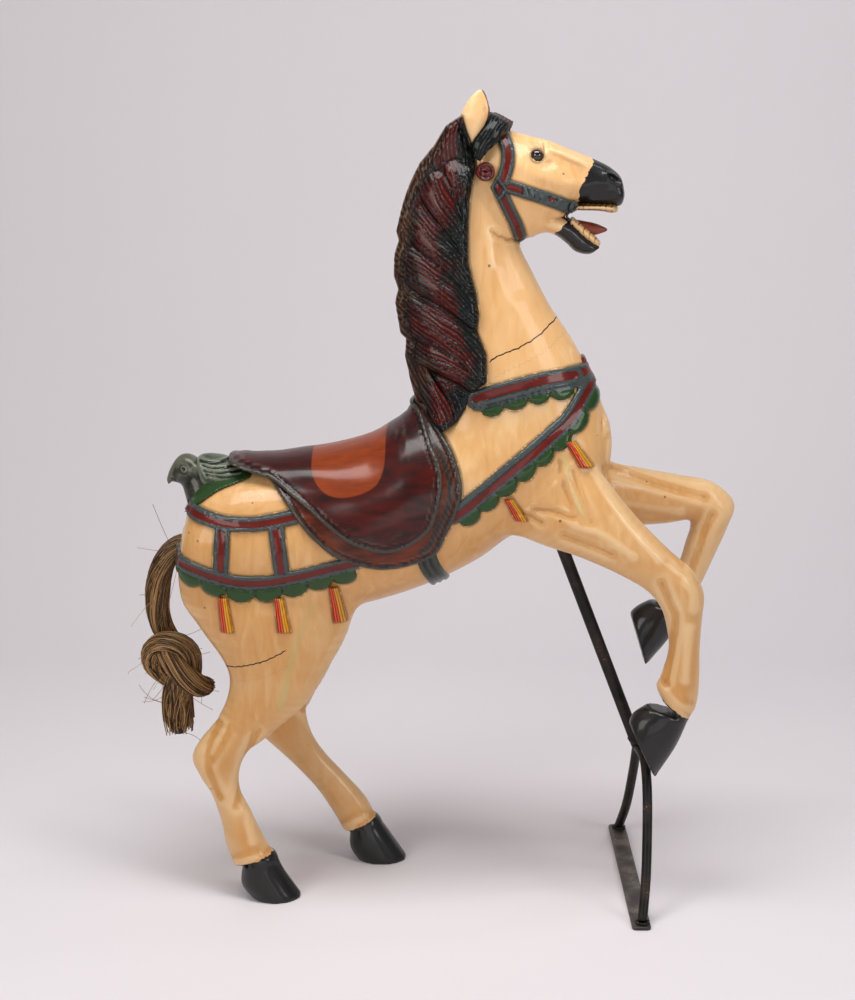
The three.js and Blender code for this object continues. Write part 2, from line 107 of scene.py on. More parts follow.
def ramp(t: np.ndarray, low: float, high: float) -> np.ndarray:
    """Nought below low and one above high, with a smooth S between."""
    s = np.clip((t - low) / (high - low), 0, 1)
    return s * s * (3 - 2 * s)


def along_line(x: np.ndarray, z: np.ndarray, line: np.ndarray) -> tuple[np.ndarray, np.ndarray, float]:
    """Where points lie beside a line seen from the side.

    The nearest of the line's segments gives the distance, positive to its left, and how far along it is.

    Args:
        x: Coordinates, any shape.
        z: Coordinates that match x.
        line: The line's points, [x, z] a row.

    Returns:
        The distance to the left, the length along the line, and the line's whole length.
    """
    x, z = np.broadcast_arrays(np.asarray(x, np.float32), np.asarray(z, np.float32))
    a = line[:-1].astype(np.float32)
    step = np.diff(line, axis=0).astype(np.float32)
    length = np.hypot(step[:, 0], step[:, 1])
    reach = np.concatenate([[0], np.cumsum(length)]).astype(np.float32)
    shape = (-1,) + (1,) * x.ndim
    px = x[None] - a[:, 0].reshape(shape)
    pz = z[None] - a[:, 1].reshape(shape)
    sx, sz = step[:, 0].reshape(shape), step[:, 1].reshape(shape)
    t = np.clip((px * sx + pz * sz) / (sx * sx + sz * sz), 0, 1)
    apart = (px - t * sx) ** 2 + (pz - t * sz) ** 2
    pick = np.argmin(apart, axis=0)[None]
    turn = np.take_along_axis(sx * pz - sz * px, pick, 0)[0]
    distance = np.sqrt(np.take_along_axis(apart, pick, 0)[0]) * np.where(turn < 0, -1, 1)
    share = np.take_along_axis(t, pick, 0)[0]
    return distance, reach[pick[0]] + share * length[pick[0]], float(reach[-1])


def outside(x: np.ndarray, z: np.ndarray, outline: np.ndarray) -> np.ndarray:
    """The distance to a closed outline seen from the side, negative inside it (by counting crossings)."""
    closed = np.vstack([outline, outline[:1]])
    distance = np.abs(along_line(x, z, closed)[0])
    x, z = np.broadcast_arrays(x, z)
    crossings = np.zeros(x.shape, int)
    for (ax, az), (bx, bz) in zip(closed[:-1], closed[1:]):
        if az != bz:
            crossings += ((az > z) != (bz > z)) & (x < (bx - ax) * (z - az) / (bz - az) + ax)
    return np.where(crossings % 2 == 1, -distance, distance)


@dataclass(frozen=True)
class Grid:
    """A box of evenly spaced sample points, in millimetres."""

    low: tuple[float, float, float]
    high: tuple[float, float, float]
    step: float

    def axis(self, k: int) -> np.ndarray:
        """The sample places along one axis."""
        return np.arange(self.low[k], self.high[k] + self.pitch, self.pitch, dtype=np.float32)

    @property
    def pitch(self) -> float:
        """The spacing, wider in a quick draft."""
        return self.step * COARSER

    @property
    def plan(self) -> tuple[np.ndarray, np.ndarray]:
        """The x and z of the samples seen from the side."""
        return self.axis(0)[:, None], self.axis(2)[None, :]

    def meets(self, x: np.ndarray, z: np.ndarray, margin: float) -> bool:
        """Whether a figure seen from the side comes near the box."""
        wide = x.max() > self.low[0] - margin and x.min() < self.high[0] + margin
        return bool(wide and z.max() > self.low[2] - margin and z.min() < self.high[2] + margin)

    def sample(self, volume: np.ndarray, points: np.ndarray) -> np.ndarray:
        """Values of a sampled volume at points, mixed evenly from the eight samples round each."""
        q = (points - np.array(self.low)) / self.pitch
        i = np.clip(np.floor(q).astype(int), 0, np.array(volume.shape) - 2)
        f = q - i
        total = np.zeros(len(points))
        for corner in CORNERS:
            weight = np.prod(np.where(corner, f, 1 - f), axis=1)
            total += weight * volume[i[:, 0] + corner[0], i[:, 1] + corner[1], i[:, 2] + corner[2]]
        return total


CORNERS = np.array([(i, j, k) for i in (0, 1) for j in (0, 1) for k in (0, 1)])
CELL_EDGES = [(a, b) for a in range(8) for b in range(a + 1, 8) if abs(CORNERS[a] - CORNERS[b]).sum() == 1]


def skin_of(volume: np.ndarray, grid: Grid) -> tuple[np.ndarray, np.ndarray]:
    """The surface where a sampled distance is nought.

    Each cell that the surface crosses holds one vertex, the mean of its edges' crossings, and each sample edge
    that it crosses joins four cells in a quad. The vertices are then moved along the slope onto the surface.

    Args:
        volume: Distances at the grid's samples, negative inside.
        grid: The samples' places.

    Returns:
        Vertices in millimetres and quads that face out.
    """
    inside = volume < 0
    shape = np.array(volume.shape)
    count = np.zeros(shape - 1, np.uint8)
    for i, j, k in CORNERS:
        count += inside[i : shape[0] - 1 + i, j : shape[1] - 1 + j, k : shape[2] - 1 + k]
    crossed = (count > 0) & (count < 8)
    cells = np.argwhere(crossed)
    number = np.full(crossed.shape, -1, np.int32)
    number[crossed] = np.arange(len(cells))
    values = np.stack([volume[tuple((cells + c).T)] for c in CORNERS])
    total = np.zeros((len(cells), 3))
    hits = np.zeros(len(cells))
    for a, b in CELL_EDGES:
        cut = (values[a] < 0) != (values[b] < 0)
        t = np.where(cut, values[a] / np.where(cut, values[a] - values[b], 1), 0)
        total += cut[:, None] * (CORNERS[a] + (CORNERS[b] - CORNERS[a]) * t[:, None])
        hits += cut
    vertices = np.array(grid.low) + (cells + total / hits[:, None]) * grid.pitch
    quads = []
    for axis in range(3):
        u, v = np.eye(3, dtype=int)[(axis + 1) % 3], np.eye(3, dtype=int)[(axis + 2) % 3]
        first = np.take(inside, range(0, shape[axis] - 1), axis)
        change = first != np.take(inside, range(1, shape[axis]), axis)
        at = np.argwhere(change)
        at = at[(at[:, (axis + 1) % 3] > 0) & (at[:, (axis + 2) % 3] > 0)]
        at = at[np.all(at < shape - 1, axis=1)]
        quad = np.stack([number[tuple((at - s).T)] for s in (u + v, v, 0 * u, u)], axis=1)
        out = first[tuple(at.T)]
        quads.append(np.where(out[:, None], quad, quad[:, ::-1]))
    half = grid.pitch / 2
    for _ in range(2):
        away = grid.sample(volume, vertices)
        slope = np.stack(
            [grid.sample(volume, vertices + half * e) - grid.sample(volume, vertices - half * e) for e in np.eye(3)],
            axis=1,
        ) / (2 * half)
        move = slope * (away / np.maximum((slope**2).sum(1), 0.2))[:, None]
        vertices -= np.clip(move, -0.5 * half, 0.5 * half)
    return vertices, np.concatenate(quads)


def even_slope(volume: np.ndarray, pitch: float) -> np.ndarray:
    """A distance divided by its own slope, so that a step of one gives one millimetre."""
    gx, gy, gz = np.gradient(volume, pitch)
    return (volume / np.maximum(np.sqrt(gx * gx + gy * gy + gz * gz), 0.35)).astype(np.float32)


def soften(volume: np.ndarray, times: int) -> np.ndarray:
    """Each sample mixed with its neighbours one, two, one along every axis, some times over."""
    for _ in range(times):
        for axis in range(3):
            before = np.take(volume, [0, *range(volume.shape[axis] - 1)], axis)
            after = np.take(volume, [*range(1, volume.shape[axis]), volume.shape[axis] - 1], axis)
            volume = 0.5 * volume + 0.25 * (before + after)
    return volume


def hollows(volume: np.ndarray, grid: Grid, points: np.ndarray, spread: int) -> np.ndarray:
    """How far each point lies in a crease, from -1 on a sharp ridge to 1 in a sharp groove."""
    bend = grid.sample(volume - soften(volume, spread), points)
    return np.clip(bend / (0.06 * grid.pitch * spread), -1, 1)


@dataclass(frozen=True)
class Loft:
    """An oval form through sections seen from the side.

    A section runs from an upper or front point to a lower or rear one, and has a half width along Y and a middle
    to one side. Between sections, the place across is a in half lengths, and a point is inside where
    a squared plus (y / half width) squared is under one.
    """

    sections: tuple[tuple[float, ...], ...]
    side: float = 1.0
    count: int = 44
    cap: float = 4.0

    def distance(self, grid: Grid) -> np.ndarray | float:
        """Distances from the form at a grid's samples, or one far-off value where the form is nowhere near."""
        s = smooth_line(np.array([(*row, 0.0)[:6] for row in self.sections]), self.count).astype(np.float32)
        if not grid.meets(np.r_[s[:, 0], s[:, 2]], np.r_[s[:, 1], s[:, 3]], FAR_OFF):
            return FAR_OFF
        middle = (s[:, 0:2] + s[:, 2:4]) / 2
        reach = (s[:, 0:2] - s[:, 2:4]) / 2
        size = np.hypot(reach[:, 0], reach[:, 1])
        onward = np.stack([-reach[:, 1], reach[:, 0]], 1) / size[:, None]
        if ((middle[-1] - middle[0]) * onward.mean(0)).sum() < 0:
            onward = -onward
        x, z = grid.plan
        dx = x[None] - middle[:, 0, None, None]
        dz = z[None] - middle[:, 1, None, None]
        past = dx * onward[:, 0, None, None] + dz * onward[:, 1, None, None]
        across = (dx * reach[:, 0, None, None] + dz * reach[:, 1, None, None]) / (size**2)[:, None, None]
        between = (past[:-1] >= 0) & (past[1:] < 0)
        t = np.where(between, past[:-1] / np.where(between, past[:-1] - past[1:], 1), 0)
        mixed = across[:-1] * (1 - t) + across[1:] * t
        rank = np.where(between, np.abs(mixed), np.inf)
        best = np.argmin(rank, axis=0)[None]
        found = np.isfinite(np.take_along_axis(rank, best, 0)[0])
        over = np.maximum(np.abs(across) - 1, 0) * size[:, None, None]
        near = np.argmin(past**2 + over**2, axis=0)[None]
        a = np.where(found, np.take_along_axis(mixed, best, 0)[0], np.take_along_axis(across, near, 0)[0])
        place = np.where(found, best[0] + np.take_along_axis(t, best, 0)[0], near[0])
        span = np.arange(self.count)
        r = np.interp(place, span, size)[:, None, :].astype(np.float32)
        w = np.interp(place, span, s[:, 4])[:, None, :].astype(np.float32)
        m = np.interp(place, span, s[:, 5])[:, None, :].astype(np.float32) * self.side
        y = grid.axis(1)[None, :, None] - m
        a = a[:, None, :].astype(np.float32)
        k0 = np.sqrt(a * a + (y / w) ** 2)
        k1 = np.sqrt((a / r) ** 2 + (y / (w * w)) ** 2)
        form = k0 * (k0 - 1) / np.maximum(k1, 1e-6)
        end = np.maximum(past[-1], -past[0])[:, None, :]
        return np.minimum(-blend(-form, -end, self.cap), FAR_OFF)


@dataclass(frozen=True)
class Stroke:
    """A gouge or a ridge carved along a line seen from the side; depth is positive for a ridge."""

    points: tuple[tuple[float, float], ...]
    width: float
    depth: float
    side: Side = Side.BOTH


def carve(strokes: tuple[Stroke, ...], grid: Grid, side: Side) -> np.ndarray:
    """The sum of the strokes' relief on one side, each a bell across its line."""
    x, z = grid.plan
    total = np.zeros(np.broadcast_shapes(x.shape, z.shape), np.float32)
    for stroke in strokes:
        points = np.array(stroke.points, float)
        if stroke.side in (Side.BOTH, side) and grid.meets(points[:, 0], points[:, 1], 3 * stroke.width):
            line = smooth_line(points, 4 * len(points))
            soft = 1.15 if stroke.width > 4.5 else 1.0
            total += stroke.depth * (1.9 - soft) * bell(along_line(x, z, line)[0], stroke.width * soft)
    return total


# ---------------------------------------------------------------------------
# Meshes
# ---------------------------------------------------------------------------


def make_mesh(
    name: str, vertices: np.ndarray, faces: np.ndarray, measures: dict[str, np.ndarray] | None = None
) -> bpy.types.Object:
    """A smooth-shaded object from arrays.

    Args:
        name: The piece's name.
        vertices: Vertices in millimetres.
        faces: Triangles or quads, corner numbers a row.
        measures: Numbers by vertex, kept as attributes for the materials.

    Returns:
        The object, at the origin.
    """
    mesh = bpy.data.meshes.new(name)
    mesh.vertices.add(len(vertices))
    mesh.vertices.foreach_set("co", (vertices * MM).astype(np.float32).ravel())
    corners = faces.shape[1]
    mesh.loops.add(faces.size)
    mesh.loops.foreach_set("vertex_index", faces.astype(np.int32).ravel())
    mesh.polygons.add(len(faces))
    mesh.polygons.foreach_set("loop_start", np.arange(len(faces), dtype=np.int32) * corners)
    mesh.polygons.foreach_set("use_smooth", np.ones(len(faces), bool))
    mesh.update(calc_edges=True)
    mesh.validate()
    for key, values in (measures or {}).items():
        mesh.attributes.new(key, "FLOAT", "POINT").data.foreach_set("value", values.astype(np.float32))
    piece = bpy.data.objects.new(name, mesh)
    bpy.context.scene.collection.objects.link(piece)
    return piece


def stacked(rings: np.ndarray) -> tuple[np.ndarray, np.ndarray]:
    """A closed skin over rings of points: quads between rings, and a fan to a middle point at either end.

    Args:
        rings: Points, ring by point by coordinate.

    Returns:
        Vertices and quads; a fan's triangle is a quad whose last two corners are alike.
    """
    n, k, _ = rings.shape
    vertices = np.vstack([rings.reshape(-1, 3), rings[0].mean(0), rings[-1].mean(0)])
    r, c = np.meshgrid(np.arange(n - 1), np.arange(k), indexing="ij")
    d = (c + 1) % k
    sides = np.stack([r * k + c, r * k + d, (r + 1) * k + d, (r + 1) * k + c], -1).reshape(-1, 4)
    c = np.arange(k)
    d = (c + 1) % k
    low = np.stack([d, c, np.full(k, n * k), np.full(k, n * k)], 1)
    last = (n - 1) * k
    high = np.stack([last + c, last + d, np.full(k, n * k + 1), np.full(k, n * k + 1)], 1)
    return vertices, np.vstack([sides, low, high])


def as_triangles(quads: np.ndarray) -> np.ndarray:
    """Quads split in two, without the halves that have no area."""
    halves = np.vstack([quads[:, [0, 1, 2]], quads[:, [0, 2, 3]]])
    same = (halves[:, 0] == halves[:, 1]) | (halves[:, 1] == halves[:, 2]) | (halves[:, 0] == halves[:, 2])
    return halves[~same]


def tubes(paths: np.ndarray, radii: np.ndarray, sides: int, across: tuple[float, float, float]) -> tuple:
    """Round tubes along many lines at once.

    Round each path point lies a ring, r cos u along a normal and r sin u along its partner, both square to the
    path. The ends are closed by fans.

    Args:
        paths: Points, line by point by coordinate.
        radii: Radii, line by point.
        sides: Points in a ring.
        across: A direction that no line runs along, which the normals are turned from.

    Returns:
        Vertices and triangles.
    """
    lines = len(paths)
    tangent = np.gradient(paths, axis=1)
    tangent /= np.linalg.norm(tangent, axis=2, keepdims=True)
    normal = np.cross(tangent, np.array(across))
    normal /= np.linalg.norm(normal, axis=2, keepdims=True)
    partner = np.cross(tangent, normal)
    u = 2 * np.pi * np.arange(sides) / sides
    ring = (
        paths[:, :, None]
        + radii[:, :, None, None] * (np.cos(u)[:, None] * normal[:, :, None] + np.sin(u)[:, None] * partner[:, :, None])
    )
    one, quads = stacked(ring[0])
    faces = as_triangles(quads)
    ends = np.stack([ring[:, 0].mean(1), ring[:, -1].mean(1)], 1)
    vertices = np.concatenate([ring.reshape(lines, -1, 3), ends], 1)
    shift = (np.arange(lines) * len(one))[:, None, None]
    return vertices.reshape(-1, 3), (faces[None] + shift).reshape(-1, 3)


# ---------------------------------------------------------------------------
# Finishes
# ---------------------------------------------------------------------------


def paint(code: str) -> tuple[float, float, float, float]:
    """An sRGB hex colour as linear values."""
    values = [int(code[i : i + 2], 16) / 255 for i in (1, 3, 5)]
    return (*(v / 12.92 if v <= 0.04045 else ((v + 0.055) / 1.055) ** 2.4 for v in values), 1.0)


class Op(Enum):
    """The kinds of node that the finishes use: Blender's name, the output used, and settings."""

    ATTRIBUTE = ("ShaderNodeAttribute", 2, {})
    PLACE = ("ShaderNodeTexCoord", 3, {})
    STRETCH = ("ShaderNodeMapping", 0, {})
    NOISE = ("ShaderNodeTexNoise", 0, {})
    CRAZING = ("ShaderNodeTexVoronoi", 0, {"feature": "DISTANCE_TO_EDGE"})
    SPECKS = ("ShaderNodeTexVoronoi", 0, {"feature": "F1"})
    MIX = ("ShaderNodeMix", 2, {"data_type": "RGBA"})
    STEP = ("ShaderNodeMapRange", 0, {"interpolation_type": "SMOOTHSTEP"})
    PLUS = ("ShaderNodeMath", 0, {"operation": "ADD"})
    LESS = ("ShaderNodeMath", 0, {"operation": "SUBTRACT"})
    TIMES = ("ShaderNodeMath", 0, {"operation": "MULTIPLY"})
    FOLD = ("ShaderNodeMath", 0, {"operation": "ABSOLUTE"})
    WAVE = ("ShaderNodeMath", 0, {"operation": "SINE"})
    BUMP = ("ShaderNodeBump", 0, {})


class Graph:
    """A material's nodes while they are put together."""

    def __init__(self, name: str) -> None:
        """Starts an empty material."""
        self.material = bpy.data.materials.new(name)
        self.material.use_nodes = True
        self.tree = self.material.node_tree
        self.tree.nodes.clear()

    def add(self, op: Op, inputs: dict | None = None, **settings: object) -> bpy.types.NodeSocket:
        """Adds a node with its settings and links.

        Args:
            op: The kind of node.
            inputs: Values or sockets by the input's number or name.
            **settings: Further settings of the node.

        Returns:
            The output that the kind names.
        """
        kind, out, fixed = op.value
        node = self.tree.nodes.new(kind)
        for key, value in {**fixed, **settings}.items():
            setattr(node, key, value)
        for key, value in (inputs or {}).items():
            if isinstance(value, bpy.types.NodeSocket):
                self.tree.links.new(value, node.inputs[key])
            else:
                node.inputs[key].default_value = value
        return node.outputs[out]

    def plus(self, one: object, other: object) -> bpy.types.NodeSocket:
        """The sum of two numbers."""
        return self.add(Op.PLUS, {0: one, 1: other})

    def less(self, one: object, other: object) -> bpy.types.NodeSocket:
        """One number less another."""
        return self.add(Op.LESS, {0: one, 1: other})

    def times(self, one: object, other: object) -> bpy.types.NodeSocket:
        """The product of two numbers."""
        return self.add(Op.TIMES, {0: one, 1: other})

    def step(self, value: object, *bounds: float) -> bpy.types.NodeSocket:
        """A smooth step of a value from nought to one, or from the third bound to the fourth."""
        return self.add(Op.STEP, dict(enumerate((value, *bounds))))

    def read(self, measure: str) -> bpy.types.NodeSocket:
        """A measure that the mesh keeps at its vertices."""
        return self.add(Op.ATTRIBUTE, attribute_name=measure)

    def mix(self, share: object, low: object, high: object) -> bpy.types.NodeSocket:
        """A mix of two colours, each a socket or a hex code."""
        low, high = (paint(colour) if isinstance(colour, str) else colour for colour in (low, high))
        return self.add(Op.MIX, {0: share, 6: low, 7: high})

    def noise(self, place: object, scale: float, detail: float, distortion: float = 0.0) -> bpy.types.NodeSocket:
        """Clouds of noise at a place."""
        return self.add(Op.NOISE, {"Vector": place, "Scale": scale, "Detail": detail, "Distortion": distortion})

    def bump(self, height: object, strength: float, distance: float) -> bpy.types.NodeSocket:
        """A normal bent by a height, whose distance is in metres."""
        return self.add(Op.BUMP, {"Height": height, "Strength": strength, "Distance": distance})

    def finish(self, colour: object, roughness: object, bump: object = None, **uniform: object) -> bpy.types.Material:
        """Closes the material with one shader.

        Args:
            colour: A colour or a socket.
            roughness: A number or a socket.
            bump: A socket that gives the normal.
            **uniform: Further values of the shader, with _ for a space in their names.

        Returns:
            The material.
        """
        shader = self.tree.nodes.new("ShaderNodeBsdfPrincipled")
        ready = {"Base Color": colour, "Roughness": roughness, "Normal": bump}
        ready.update({key.replace("_", " "): value for key, value in uniform.items()})
        for key, value in ready.items():
            if isinstance(value, bpy.types.NodeSocket):
                self.tree.links.new(value, shader.inputs[key])
            elif value is not None:
                shader.inputs[key].default_value = value
        out = self.tree.nodes.new("ShaderNodeOutputMaterial")
        self.tree.links.new(shader.outputs[0], out.inputs[0])
        return self.material


@dataclass(frozen=True)
class CreamBody:
    """Oil paint on carved basswood, varnished, with brown painted shade in the hollows.

    The eye sees warm streaky cream, brown painted shade in creases and beside the trappings, pale painted highlights
    on ridges, black hooves and muzzle with a ragged brushed edge, and a wet-looking varnish with a fine web of crazing.
    """

    deep: str = "#E0A86A"
    body: str = "#EBBA80"
    light: str = "#F2CB96"
    # crease: the colour of the painted shade in the hollows
    crease: str = "#93592A"
    wash: str = "#A5A468"
    red: str = "#6B2420"

    def material(self) -> bpy.types.Material:
        """The finish as a material that reads the carved pieces' measures."""
        g = Graph("varnished_cream_oil_paint")
        place = g.add(Op.PLACE)
        broad = g.noise(place, 7.0, 3.0)
        stretched = g.add(Op.STRETCH, {"Vector": place, "Scale": (70.0, 70.0, 16.0)})
        brushed = g.noise(stretched, 1.0, 5.0, 0.6)
        fine = g.noise(place, 260.0, 3.0)
        tone = g.plus(g.times(broad, 0.55), g.times(brushed, 0.45))
        low = g.step(tone, 0.30, 0.50)
        high = g.step(tone, 0.50, 0.68)
        colour = g.mix(low, self.deep, self.body)
        colour = g.mix(high, colour, self.light)
        # Darker and browner towards the bottom of the figure, by the glaze measure, which falls with height.
        glaze = g.times(g.read("glaze"), g.step(tone, 0.3, 0.7, 0.72, 0.48))
        colour = g.mix(glaze, colour, "#B07428")
        # Painted shade: brown in the creases and hollows, from the cavity measure and the brush streaks.
        cavity = g.read("cavity")
        painted_relief_light = g.plus(cavity, g.times(g.less(brushed, 0.5), 0.8))
        painted_crease_shade = g.times(g.step(painted_relief_light, 0.35, 1.5), 0.7)
        colour = g.mix(painted_crease_shade, colour, self.crease)
        # Painted highlight: pale cream on the ridges, from the same measure.
        proud = g.times(g.step(painted_relief_light, -0.25, -1.0), 0.35)
        colour = g.mix(proud, colour, "#F6DCB0")
        green = g.read("wash")
        patchy = g.step(g.times(green, brushed), 0.18, 0.62)
        colour = g.mix(g.times(patchy, 0.35), colour, self.wash)
        # Painted shade: a dark brown line along the edges of the trappings, saddle, wings, mane and bridle, and round
        # the eye.
        edge = g.read("edge")
        rim = g.plus(edge, g.times(brushed, -4.0))
        line = g.times(g.step(rim, 2.4, -1.6), 0.6)
        colour = g.mix(line, colour, "#5A4424")
        dots = g.add(Op.SPECKS, {"Vector": place, "Scale": 30.0, "Randomness": 1.0})
        spot = g.step(g.plus(dots, g.times(broad, 0.25)), 0.175, 0.15)
        colour = g.mix(g.times(spot, 0.7), colour, "#4A2E16")
        red = g.step(g.read("red"), -0.8, 0.8)
        colour = g.mix(red, colour, self.red)
        crack = g.add(Op.FOLD, {0: g.read("crack")})
        gap = g.step(g.plus(crack, g.times(fine, 0.9)), 1.7, 1.0)
        split = g.times(gap, g.read("crack_near"))
        colour = g.mix(split, colour, "#241509")
        ragged = g.noise(place, 110.0, 4.0)
        black = g.plus(g.read("black"), g.times(ragged, 9.0))
        covered = g.step(black, 4.1, 4.9)
        dull = g.mix(fine, "#080707", "#1B1918")
        colour = g.mix(covered, colour, dull)
        rough = g.step(brushed, 0.2, 0.8, 0.34, 0.52)
        crazing = g.add(Op.CRAZING, {"Vector": place, "Scale": 85.0})
        web = g.step(crazing, 0.0, 0.05)
        height = g.plus(g.times(brushed, 1.0), g.times(web, 0.12))
        height = g.plus(height, g.times(fine, 0.15))
        height = g.less(height, g.times(split, 2.0))
        bump = g.bump(height, 0.6, 0.0011)
        return g.finish(colour, rough, bump, Coat_Weight=0.45, Coat_Roughness=0.12, Specular_IOR_Level=0.25)


@dataclass(frozen=True)
class SaddleVarnish:
    """Oxblood oil glaze over a mahogany ground under thick gloss varnish.

    The eye sees very deep red-brown with cloudy depth, an orange patch where the glaze is thin, orange-brown on
    the skirt, grey-black double beads, pale painted highlights on the ridges, and painted shade in the hollows.
    """

    name: str
    ground: str
    depth: str
    thin: str = "#A9480F"

    def material(self) -> bpy.types.Material:
        """The finish as a material that reads bead, thin and cavity."""
        g = Graph(self.name)
        place = g.add(Op.PLACE)
        cloud = g.noise(place, 11.0, 5.0, 0.4)
        grain = g.add(Op.STRETCH, {"Vector": place, "Scale": (22.0, 60.0, 90.0)})
        streak = g.noise(grain, 1.0, 6.0)
        tone = g.step(g.plus(cloud, streak), 0.75, 1.3)
        colour = g.mix(tone, self.depth, self.ground)
        patch = g.step(g.read("thin"), -1.5, 1.5)
        warm = g.mix(streak, "#6E2608", self.thin)
        colour = g.mix(g.times(patch, 0.8), colour, warm)
        cavity = g.read("cavity")
        bead = g.step(g.read("bead"), -0.6, 0.6)
        dark = g.mix(streak, "#110F0D", "#2C2B29")
        colour = g.mix(bead, colour, dark)
        # Painted shade: near-black in the hollows.
        sunk = g.times(g.step(cavity, 0.1, 0.8), 0.85)
        colour = g.mix(sunk, colour, "#0C0706")
        # Painted highlight: pale grey on the ridges and beads.
        painted_relief_light = g.step(g.plus(cavity, streak), 0.15, -0.5)
        colour = g.mix(g.times(painted_relief_light, 0.4), colour, "#5E5248")
        height = g.plus(streak, g.times(cloud, 0.6))
        bump = g.bump(height, 0.35, 0.0009)
        return g.finish(colour, 0.45, bump, Coat_Weight=0.55, Coat_Roughness=0.18, Specular_IOR_Level=0.1)


@dataclass(frozen=True)
class TrappingPaint:
    """Oil colours on the carved straps, scallops and tassels, under varnish.

    The eye sees maroon strap middles between blue-grey raised edges, dark green scallops and tassels red on one side
    and yellow on the other with dark lines; the pale glints, the scallops' shading and the hollows' shade are painted.
    """

    maroon: str = "#741A10"
    slate: str = "#2E3637"
    green: str = "#1D3C10"

    def material(self) -> bpy.types.Material:
        """The finish as a material that reads mid, off, lobe, tassel, tassel_u and cavity."""
        g = Graph("varnished_trapping_colours")
        place = g.add(Op.PLACE)
        fine = g.noise(place, 240.0, 4.0)
        cloud = g.noise(place, 45.0, 4.0)
        cavity = g.read("cavity")
        slate = g.mix(cloud, "#121516", self.slate)
        # Painted highlight: pale glints on the raised slate edges.
        painted_relief_light = g.step(g.plus(cavity, fine), 0.1, -0.6)
        slate = g.mix(g.times(painted_relief_light, 0.4), slate, "#5C6664")
        maroon = g.mix(cloud, "#430C08", self.maroon)
        mid = g.plus(g.read("mid"), g.times(fine, 0.08))
        colour = g.mix(g.step(mid, 0.42, 0.52), maroon, slate)
        green = g.mix(cloud, "#0C1A09", self.green)
        lobe = g.read("lobe")
        # Painted shading across each scallop: lighter green towards its edge.
        shade = g.step(g.plus(lobe, fine), -0.4, 0.9)
        green = g.mix(g.times(shade, 0.55), green, "#274A1C")
        rim = g.step(g.plus(lobe, fine), 1.36, 1.6)
        green = g.mix(g.times(rim, 0.45), green, "#7A6A2C")
        off = g.step(g.read("off"), -0.5, 0.5)
        colour = g.mix(off, colour, green)
        u = g.read("tassel_u")
        tassel = g.mix(g.step(u, -0.02, 0.12), "#C41A10", "#D49018")
        lines = g.add(Op.WAVE, {0: g.plus(g.times(u, 15.0), g.times(cloud, 2.0))})
        dark = g.times(g.step(lines, 0.45, 0.95), 0.7)
        tassel = g.mix(dark, tassel, "#4E1A0A")
        pale = g.times(g.step(lines, -0.6, -1.0), 0.5)
        tassel = g.mix(pale, tassel, "#E2A22E")
        hung = g.step(g.read("tassel"), 0.6, -0.4)
        colour = g.mix(hung, colour, tassel)
        # Painted shade: near-black in the hollows.
        sunk = g.times(g.step(cavity, 0.15, 0.9), 0.85)
        colour = g.mix(sunk, colour, "#0E0A08")
        grooves = g.times(g.times(lines, hung), -0.7)
        height = g.plus(g.plus(cloud, g.times(fine, 0.4)), grooves)
        bump = g.bump(height, 0.6, 0.001)
        return g.finish(colour, 0.4, bump, Coat_Weight=0.5, Coat_Roughness=0.1, Specular_IOR_Level=0.15)


@dataclass(frozen=True)
class ManePaint:
    """Brown-black, oxblood and amber glazes over fine gouged locks, under gloss varnish.

    The eye sees dark ridges with small painted white glints and painted shade in the gouges, red in the middle of the
    locks, amber towards the crest and blue-black at the front edge.
    """

    name: str = "varnished_mane_glaze"

    def material(self) -> bpy.types.Material:
        """The finish as a material that reads strand, zone and cavity."""
        g = Graph(self.name)
        place = g.add(Op.PLACE)
        cloud = g.noise(place, 17.0, 3.0)
        fine = g.noise(place, 190.0, 4.0)
        zone = g.read("zone")
        mixed = g.plus(zone, g.times(g.less(cloud, 0.5), 1.1))
        colour = g.mix(g.step(mixed, 0.05, 0.3), "#4A280C", "#1C0E0B")
        red = g.times(g.step(mixed, 0.2, 0.42), g.step(mixed, 0.8, 0.55))
        colour = g.mix(red, colour, "#560E07")
        teal = g.step(mixed, 0.62, 0.86)
        colour = g.mix(teal, colour, "#101718")
        strand = g.read("strand")
        wave = g.add(Op.WAVE, {0: g.plus(strand, g.times(fine, 1.2))})
        # Painted shade: near-black in the gouges between the strands.
        groove = g.times(g.step(wave, -0.1, -0.9), 0.85)
        colour = g.mix(groove, colour, "#090807")
        # Painted glints: pale grey on a few strand crests.
        ridge = g.times(g.step(wave, 0.75, 1.0), g.step(fine, 0.46, 0.62))
        colour = g.mix(g.times(ridge, 0.4), colour, "#8C8478")
        cavity = g.read("cavity")
        # Painted shade: near-black in the hollows.
        sunk = g.times(g.step(cavity, 0.2, 1.0), 0.8)
        colour = g.mix(sunk, colour, "#070606")
        height = g.plus(wave, g.times(fine, 0.7))
        bump = g.bump(height, 0.8, 0.0008)
        return g.finish(colour, 0.4, bump, Coat_Weight=0.38, Coat_Roughness=0.07, Specular_IOR_Level=0.1)


